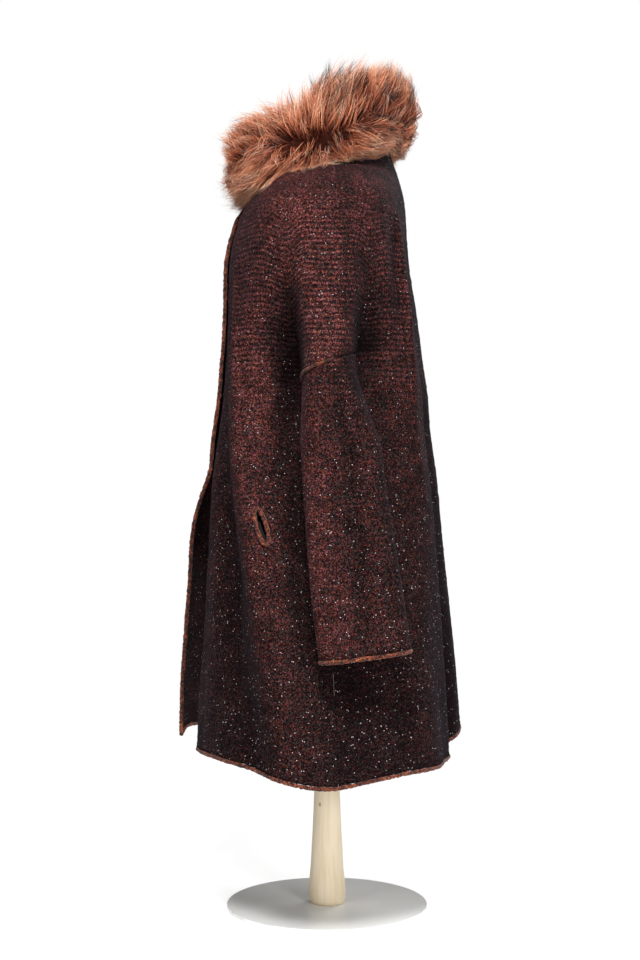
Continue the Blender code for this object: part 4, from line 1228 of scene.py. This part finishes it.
class Finish:
    """A material under construction."""

    def __init__(self, name, constants):
        self.material = bpy.data.materials.new(name)
        self.material.use_nodes = True
        self.tree = self.material.node_tree
        self.shader = self.tree.nodes["Principled BSDF"]
        for socket, value in constants.items():
            self.shader.inputs[socket].default_value = value

    def node(self, kind, settings=None, sockets=None):
        """A node of a type, with its settings made first and its sockets filled or linked."""
        made = self.tree.nodes.new(kind)
        for key, value in (settings or {}).items():
            if key == "stops":
                self.set_stops(made.color_ramp, value)
            else:
                setattr(made, key, value)
        for key, value in (sockets or {}).items():
            if isinstance(value, Level):
                self.tree.links.new(value.socket, made.inputs[key])
            elif isinstance(value, bpy.types.NodeSocket):
                self.tree.links.new(value, made.inputs[key])
            else:
                made.inputs[key].default_value = value
        return made

    def set_stops(self, ramp, stops):
        """Fills a colour ramp."""
        while len(ramp.elements) < len(stops):
            ramp.elements.new(0.5)
        for element, (position, colour) in zip(ramp.elements, sorted(stops)):
            element.position = position
            element.color = colour

    def spot(self):
        """The place on the piece, in metres."""
        return self.node("ShaderNodeTexCoord").outputs["Object"]

    def carried(self, name):
        """A value that the mesh carries."""
        return Level(self, self.node("ShaderNodeAttribute", {"attribute_name": name}).outputs["Fac"])

    def three(self, vector):
        """The three values of a vector."""
        return [Level(self, out) for out in self.node("ShaderNodeSeparateXYZ", None, {0: vector}).outputs]

    def split(self, name):
        """The three values of a vector that the mesh carries."""
        return self.three(self.node("ShaderNodeAttribute", {"attribute_name": name}).outputs["Vector"])

    def noise(self, place, scale, detail=2.0, roughness=0.5):
        """Soft noise round 0.5, its grains about 1/scale apart."""
        sockets = {"Vector": place, "Scale": scale, "Detail": detail, "Roughness": roughness}
        return Level(self, self.node("ShaderNodeTexNoise", None, sockets).outputs["Fac"])

    def cells(self, place, scale):
        """Irregular cells: the distance from each one's middle, and two random numbers for each."""
        node = self.node("ShaderNodeTexVoronoi", None, {"Vector": place, "Scale": scale})
        colour = self.node("ShaderNodeSeparateColor", None, {0: node.outputs["Color"]})
        return [Level(self, out) for out in (node.outputs["Distance"], *colour.outputs[:2])]

    def shaken(self, place, scale, amount):
        """The place moved about by noise."""
        noise = self.node("ShaderNodeTexNoise", None, {"Vector": place, "Scale": scale, "Detail": 1.0})
        shift = self.node(
            "ShaderNodeVectorMath", {"operation": "SUBTRACT"}, {0: noise.outputs["Color"], 1: (0.5, 0.5, 0.5)}
        )
        sockets = {0: shift.outputs[0], 1: (amount, amount, amount), 2: place}
        return self.node("ShaderNodeVectorMath", {"operation": "MULTIPLY_ADD"}, sockets).outputs[0]

    def stretched(self, place, along):
        """The place scaled along its three axes."""
        node = self.node("ShaderNodeVectorMath", {"operation": "MULTIPLY"}, {0: place, 1: along})
        return node.outputs[0]

    def away(self, place, point):
        """The distance from a point."""
        node = self.node("ShaderNodeVectorMath", {"operation": "DISTANCE"}, {0: place, 1: point})
        return Level(self, node.outputs["Value"])

    def fade(self, value, start, end, low=0.0, high=1.0):
        """A value carried smoothly from one range to another."""
        node = self.node(
            "ShaderNodeMapRange",
            {"interpolation_type": "SMOOTHSTEP"},
            {"Value": value, "From Min": start, "From Max": end, "To Min": low, "To Max": high},
        )
        return Level(self, node.outputs[0])

    def ramp(self, value, stops):
        """A colour picked along a ramp."""
        return self.node("ShaderNodeValToRGB", {"stops": stops}, {0: value}).outputs[0]

    def mix(self, share, one, two):
        """One colour mixed with another."""
        return self.node("ShaderNodeMix", {"data_type": "RGBA"}, {0: share, 6: one, 7: two}).outputs[2]

    def finish(self, colour, relief=None, depth=0.001):
        """Links what varies to the shader."""
        self.tree.links.new(colour, self.shader.inputs["Base Color"])
        if relief is not None:
            bump = self.node("ShaderNodeBump", None, {"Strength": 1.0, "Distance": depth, "Height": relief})
            self.tree.links.new(bump.outputs[0], self.shader.inputs["Normal"])
        return self.material


def wool_finish():
    """Marled looped wool: dark yarn with rust and orange flecks in level courses, darkened and lightened by
    the painted shading that the mesh carries, and fine painted glints.
    """
    f = Finish(
        "marled_wool",
        {
            "Roughness": 0.92,
            "Specular IOR Level": 0.03,
            "Sheen Weight": 0.07,
            "Sheen Roughness": 0.2,
            "Sheen Tint": srgb(185, 182, 205),
        },
    )
    spot = f.spot()
    down = f.carried("down")
    wander = f.noise(spot, 45.0, 2.0)
    crest = ((down / COURSE + wander * 0.5) * (2 * math.pi)).maths("SINE") * 0.5 + 0.5
    rows = f.fade(down, -0.06, 0.02) * f.fade(down, 0.14, 0.30, 1.0, 0.25)
    loops, pick, hue = f.cells(f.shaken(spot, 900.0, 0.0010), 720.0)
    patch = f.noise(spot, 32.0, 3.0)
    dashes = f.noise(spot, 330.0, 2.0)
    # The mesh's painted shading moves the flecks darker where shade is painted and lighter where a highlight
    # is painted
    marl = f.carried("marl")
    choice = pick * 0.64 + (patch - 0.5) * 0.34 + (dashes - 0.5) * 0.34
    choice = choice + (crest - 0.5) * rows * 0.17 + marl - 0.06
    warm = (
        (0.00, srgb(16, 8, 9)),
        (0.30, srgb(40, 19, 18)),
        (0.50, srgb(74, 36, 31)),
        (0.64, srgb(110, 56, 45)),
        (0.78, srgb(152, 86, 66)),
        (0.94, srgb(196, 138, 114)),
    )
    cool = (
        (0.00, srgb(12, 8, 10)),
        (0.30, srgb(30, 22, 24)),
        (0.50, srgb(52, 52, 49)),
        (0.64, srgb(106, 48, 56)),
        (0.78, srgb(146, 92, 96)),
        (0.94, srgb(190, 158, 156)),
    )
    colour = f.mix(hue > 0.45, f.ramp(choice, warm), f.ramp(choice, cool))
    # Painted glints: small white specks in the base colour that stand in for the sparkle of metallic threads,
    # more of them lower down
    spark, chance = f.cells(spot, 300.0)[:2]
    glint = (spark < 0.16) * (chance > f.fade(down, 0.05, 0.60, 0.93, 0.80))
    colour = f.mix(glint, colour, srgb(244, 236, 238))
    relief = crest * rows * 0.5 + (1 - loops) * 0.7 + f.noise(spot, 900.0, 1.0) * 0.3
    return f.finish(colour, relief=relief, depth=0.0012)


def yarn_finish():
    """Burnt orange looped yarn with darker strands in it."""
    f = Finish("edging_yarn", {"Roughness": 0.9, "Specular IOR Level": 0.2, "Sheen Weight": 0.15})
    spot = f.spot()
    loops, pick = f.cells(f.shaken(spot, 500.0, 0.0012), 620.0)[:2]
    choice = pick * 0.6 + f.noise(spot, 90.0, 3.0) * 0.9 - 0.32
    stops = (
        (0.0, srgb(18, 11, 13)),
        (0.32, srgb(50, 24, 22)),
        (0.58, srgb(122, 58, 38)),
        (0.88, srgb(190, 108, 68)),
    )
    return f.finish(f.ramp(choice, stops), relief=1 - loops, depth=0.0012)


def fur_finish():
    """Dyed fur: dark roots, apricot lengths, and dark ends on some locks."""
    f = Finish("dyed_fur", {"Roughness": 0.5, "Specular IOR Level": 0.35, "Sheen Weight": 0.0})
    along, tone, ends = f.split("hair")
    stops = (
        (0.0, srgb(28, 10, 8)),
        (0.28, srgb(62, 24, 15)),
        (0.52, srgb(160, 78, 48)),
        (0.75, srgb(226, 146, 106)),
        (1.0, srgb(252, 208, 176)),
    )
    colour = f.ramp(along + (tone - 0.5) * 0.35, stops)
    colour = f.mix((tone < 0.14) * 0.6, colour, srgb(220, 184, 168))
    dark = ends * f.fade(along, 0.40, 0.68)
    return f.finish(f.mix(dark, colour, srgb(34, 24, 26)))


def skin_finish():
    """The fur's leather and short under-fur."""
    f = Finish("under_fur", {"Roughness": 0.9, "Specular IOR Level": 0.1})
    spot = f.spot()
    stops = ((0.3, srgb(48, 22, 18)), (0.7, srgb(84, 40, 28)))
    return f.finish(f.ramp(f.noise(spot, 400.0, 3.0), stops), relief=f.noise(spot, 600.0, 2.0), depth=0.001)


def pocket_finish():
    """Plain dark pocket cloth in a fine twill."""
    f = Finish("pocket_twill", {"Roughness": 0.85, "Specular IOR Level": 0.2})
    spot = f.spot()
    y, z = f.three(spot)[1:]
    twill = ((z + y) * 5200.0).maths("SINE") * 0.5 + 0.5
    stops = ((0.0, srgb(24, 20, 22)), (1.0, srgb(44, 36, 38)))
    return f.finish(f.ramp(twill * 0.6 + f.noise(spot, 60.0) * 0.4, stops), relief=twill, depth=0.0003)


def linen_finish():
    """Natural linen, plain woven, with slubs."""
    f = Finish("form_linen", {"Roughness": 0.85, "Specular IOR Level": 0.25})
    spot = f.spot()
    x, y, z = f.three(spot)
    warp = ((x + y) * 4200.0).maths("SINE")
    weft = (z * 5200.0).maths("SINE")
    slub = f.noise(f.stretched(spot, (1.0, 1.0, 14.0)), 60.0, 3.0)
    stops = ((0.25, srgb(196, 186, 168)), (0.5, srgb(222, 214, 198)), (0.8, srgb(234, 228, 214)))
    return f.finish(f.ramp(slub * 0.8 + warp * weft * 0.1 + 0.1, stops), relief=warp * weft, depth=0.0003)


def wood_finish():
    """Pale turned wood with long grain and a small knot."""
    f = Finish("pale_wood", {"Roughness": 0.5, "Specular IOR Level": 0.4})
    spot = f.spot()
    bent = f.shaken(spot, 7.0, 0.010)
    rings = (f.noise(f.stretched(bent, (1.0, 1.0, 0.05)), 120.0, 2.0) * 16.0).maths("SINE") * 0.5 + 0.5
    grain = f.noise(f.stretched(bent, (1.0, 1.0, 0.03)), 900.0, 2.0)
    tint = f.noise(f.stretched(spot, (1.0, 1.0, 0.25)), 24.0, 2.0)
    stops = ((0.1, srgb(226, 202, 164)), (0.5, srgb(238, 219, 186)), (0.9, srgb(246, 232, 206)))
    colour = f.ramp(rings * 0.3 + grain * 0.35 + tint * 0.45, stops)
    from_knot = f.away(f.stretched(spot, (1.0, 1.0, 0.7)), (0.018, -0.0115, 0.109))
    knot = f.fade(from_knot, 0.0012, 0.0036, 1.0, 0.0)
    colour = f.mix(knot * 0.8, colour, srgb(150, 108, 66))
    return f.finish(colour, relief=grain * 0.6 + rings * 0.2, depth=0.0003)


def paint_finish():
    """White paint with a faint orange peel, a little worn at the rim."""
    f = Finish("plate_paint", {"Roughness": 0.4, "Coat Weight": 0.2})
    spot = f.spot()
    wear = f.fade(f.away(f.stretched(spot, (1.0, 1.0, 0.0)), (0.0, 0.0, 0.0)), 0.1478, 0.1502)
    wear = wear * f.fade(f.noise(spot, 45.0, 3.0), 0.5, 0.7)
    stops = ((0.3, srgb(240, 240, 237)), (0.7, srgb(247, 247, 245)))
    colour = f.mix(wear * 0.5, f.ramp(f.noise(spot, 12.0), stops), srgb(196, 196, 194))
    return f.finish(colour, relief=f.noise(spot, 320.0, 1.0), depth=0.0001)


def floor_finish():
    """A plain pale floor that fades into the white room."""
    f = Finish("pale_floor", {"Roughness": 0.9, "Specular IOR Level": 0.1, "Emission Strength": 0.7})
    f.shader.inputs["Emission Color"].default_value = srgb(255, 255, 255)
    spot = f.spot()
    stops = ((0.3, srgb(200, 200, 200)), (0.7, srgb(206, 206, 206)))
    shown = f.fade(f.away(spot, (0.0, 0.0, 0.0)), FLOOR_RADIUS * 0.25, FLOOR_RADIUS * 0.95, 1.0, 0.0)
    f.tree.links.new(shown.socket, f.shader.inputs["Alpha"])
    return f.finish(f.ramp(f.noise(spot, 2.0), stops))


def cover(finish, slot_name, *things):
    """Gives pieces their finish. The slot's name is not used."""
    for thing in things:
        thing.data.materials.clear()
        thing.data.materials.append(finish)


def softbox(name, place_at, aim, size, watts):
    """A square soft light that points at a place."""
    data = bpy.data.lights.new(name, "AREA")
    data.shape = "SQUARE"
    data.size = size
    data.energy = watts
    lamp = linked(name, data)
    lamp.location = place_at
    lamp.rotation_euler = (Vector(aim) - Vector(place_at)).to_track_quat("-Z", "Y").to_euler()


def make_camera():
    """The camera, level and square to the coat's left side."""
    data = bpy.data.cameras.new("camera")
    data.lens = CAMERA_LENS
    data.sensor_width = SENSOR
    data.sensor_fit = "AUTO"
    camera = linked("camera", data)
    camera.location = (CAMERA_AWAY, *CAMERA_AIM)
    camera.rotation_euler = (math.pi / 2, 0, math.pi / 2)
    bpy.context.scene.camera = camera


def make_studio():
    """A white room that lights softly, a pale floor that fades out and soft lights."""
    world = bpy.data.worlds.new("studio")
    world.use_nodes = True
    nodes, links = world.node_tree.nodes, world.node_tree.links
    back = nodes["Background"]
    back.inputs["Color"].default_value = (1, 1, 1, 1)
    seen = nodes.new("ShaderNodeLightPath")
    strength = nodes.new("ShaderNodeMapRange")
    strength.inputs["To Min"].default_value = ROOM_LIGHT
    links.new(seen.outputs["Is Camera Ray"], strength.inputs["Value"])
    links.new(strength.outputs[0], back.inputs["Strength"])
    bpy.context.scene.world = world
    bpy.context.scene.view_settings.view_transform = "Standard"
    for box in SOFTBOXES:
        softbox(*box)
    mesh = bmesh.new()
    bmesh.ops.create_circle(mesh, cap_ends=True, segments=64, radius=FLOOR_RADIUS)
    data = bpy.data.meshes.new("floor")
    mesh.to_mesh(data)
    mesh.free()
    floor = linked("floor", data)
    floor.location.z = -GAP
    data.materials.append(floor_finish())


make_camera()
wool, yarn = wool_finish(), yarn_finish()
pocket_cloth = pocket_finish()
back_knit, back_yarn = make_back()
cover(wool, "wool_knit", back_knit)
cover(yarn, "edging_yarn", back_yarn)
for hand in (LEFT, RIGHT):
    front_knit, front_yarn = make_front(hand)
    sleeve_knit, cuff_yarn, seam_yarn = make_sleeve(hand)
    rim_yarn, pocket = make_pocket(hand)
    cover(wool, "wool_knit", front_knit, sleeve_knit)
    cover(yarn, "edging_yarn", front_yarn, cuff_yarn, seam_yarn, rim_yarn)
    cover(pocket_cloth, "pocketing", pocket)
fur_roll = make_fur_roll()
cover(skin_finish(), "fur", fur_roll)
fur = fur_finish()
for number, section in enumerate(FUR_SECTIONS):
    cover(fur, "fur", make_fur(*section, FUR_SEED + number))
cover(linen_finish(), "form_cover", make_form())
post, plate = make_stand()
cover(wood_finish(), "pale_wood", post)
cover(paint_finish(), "plate_paint", plate)
make_studio()
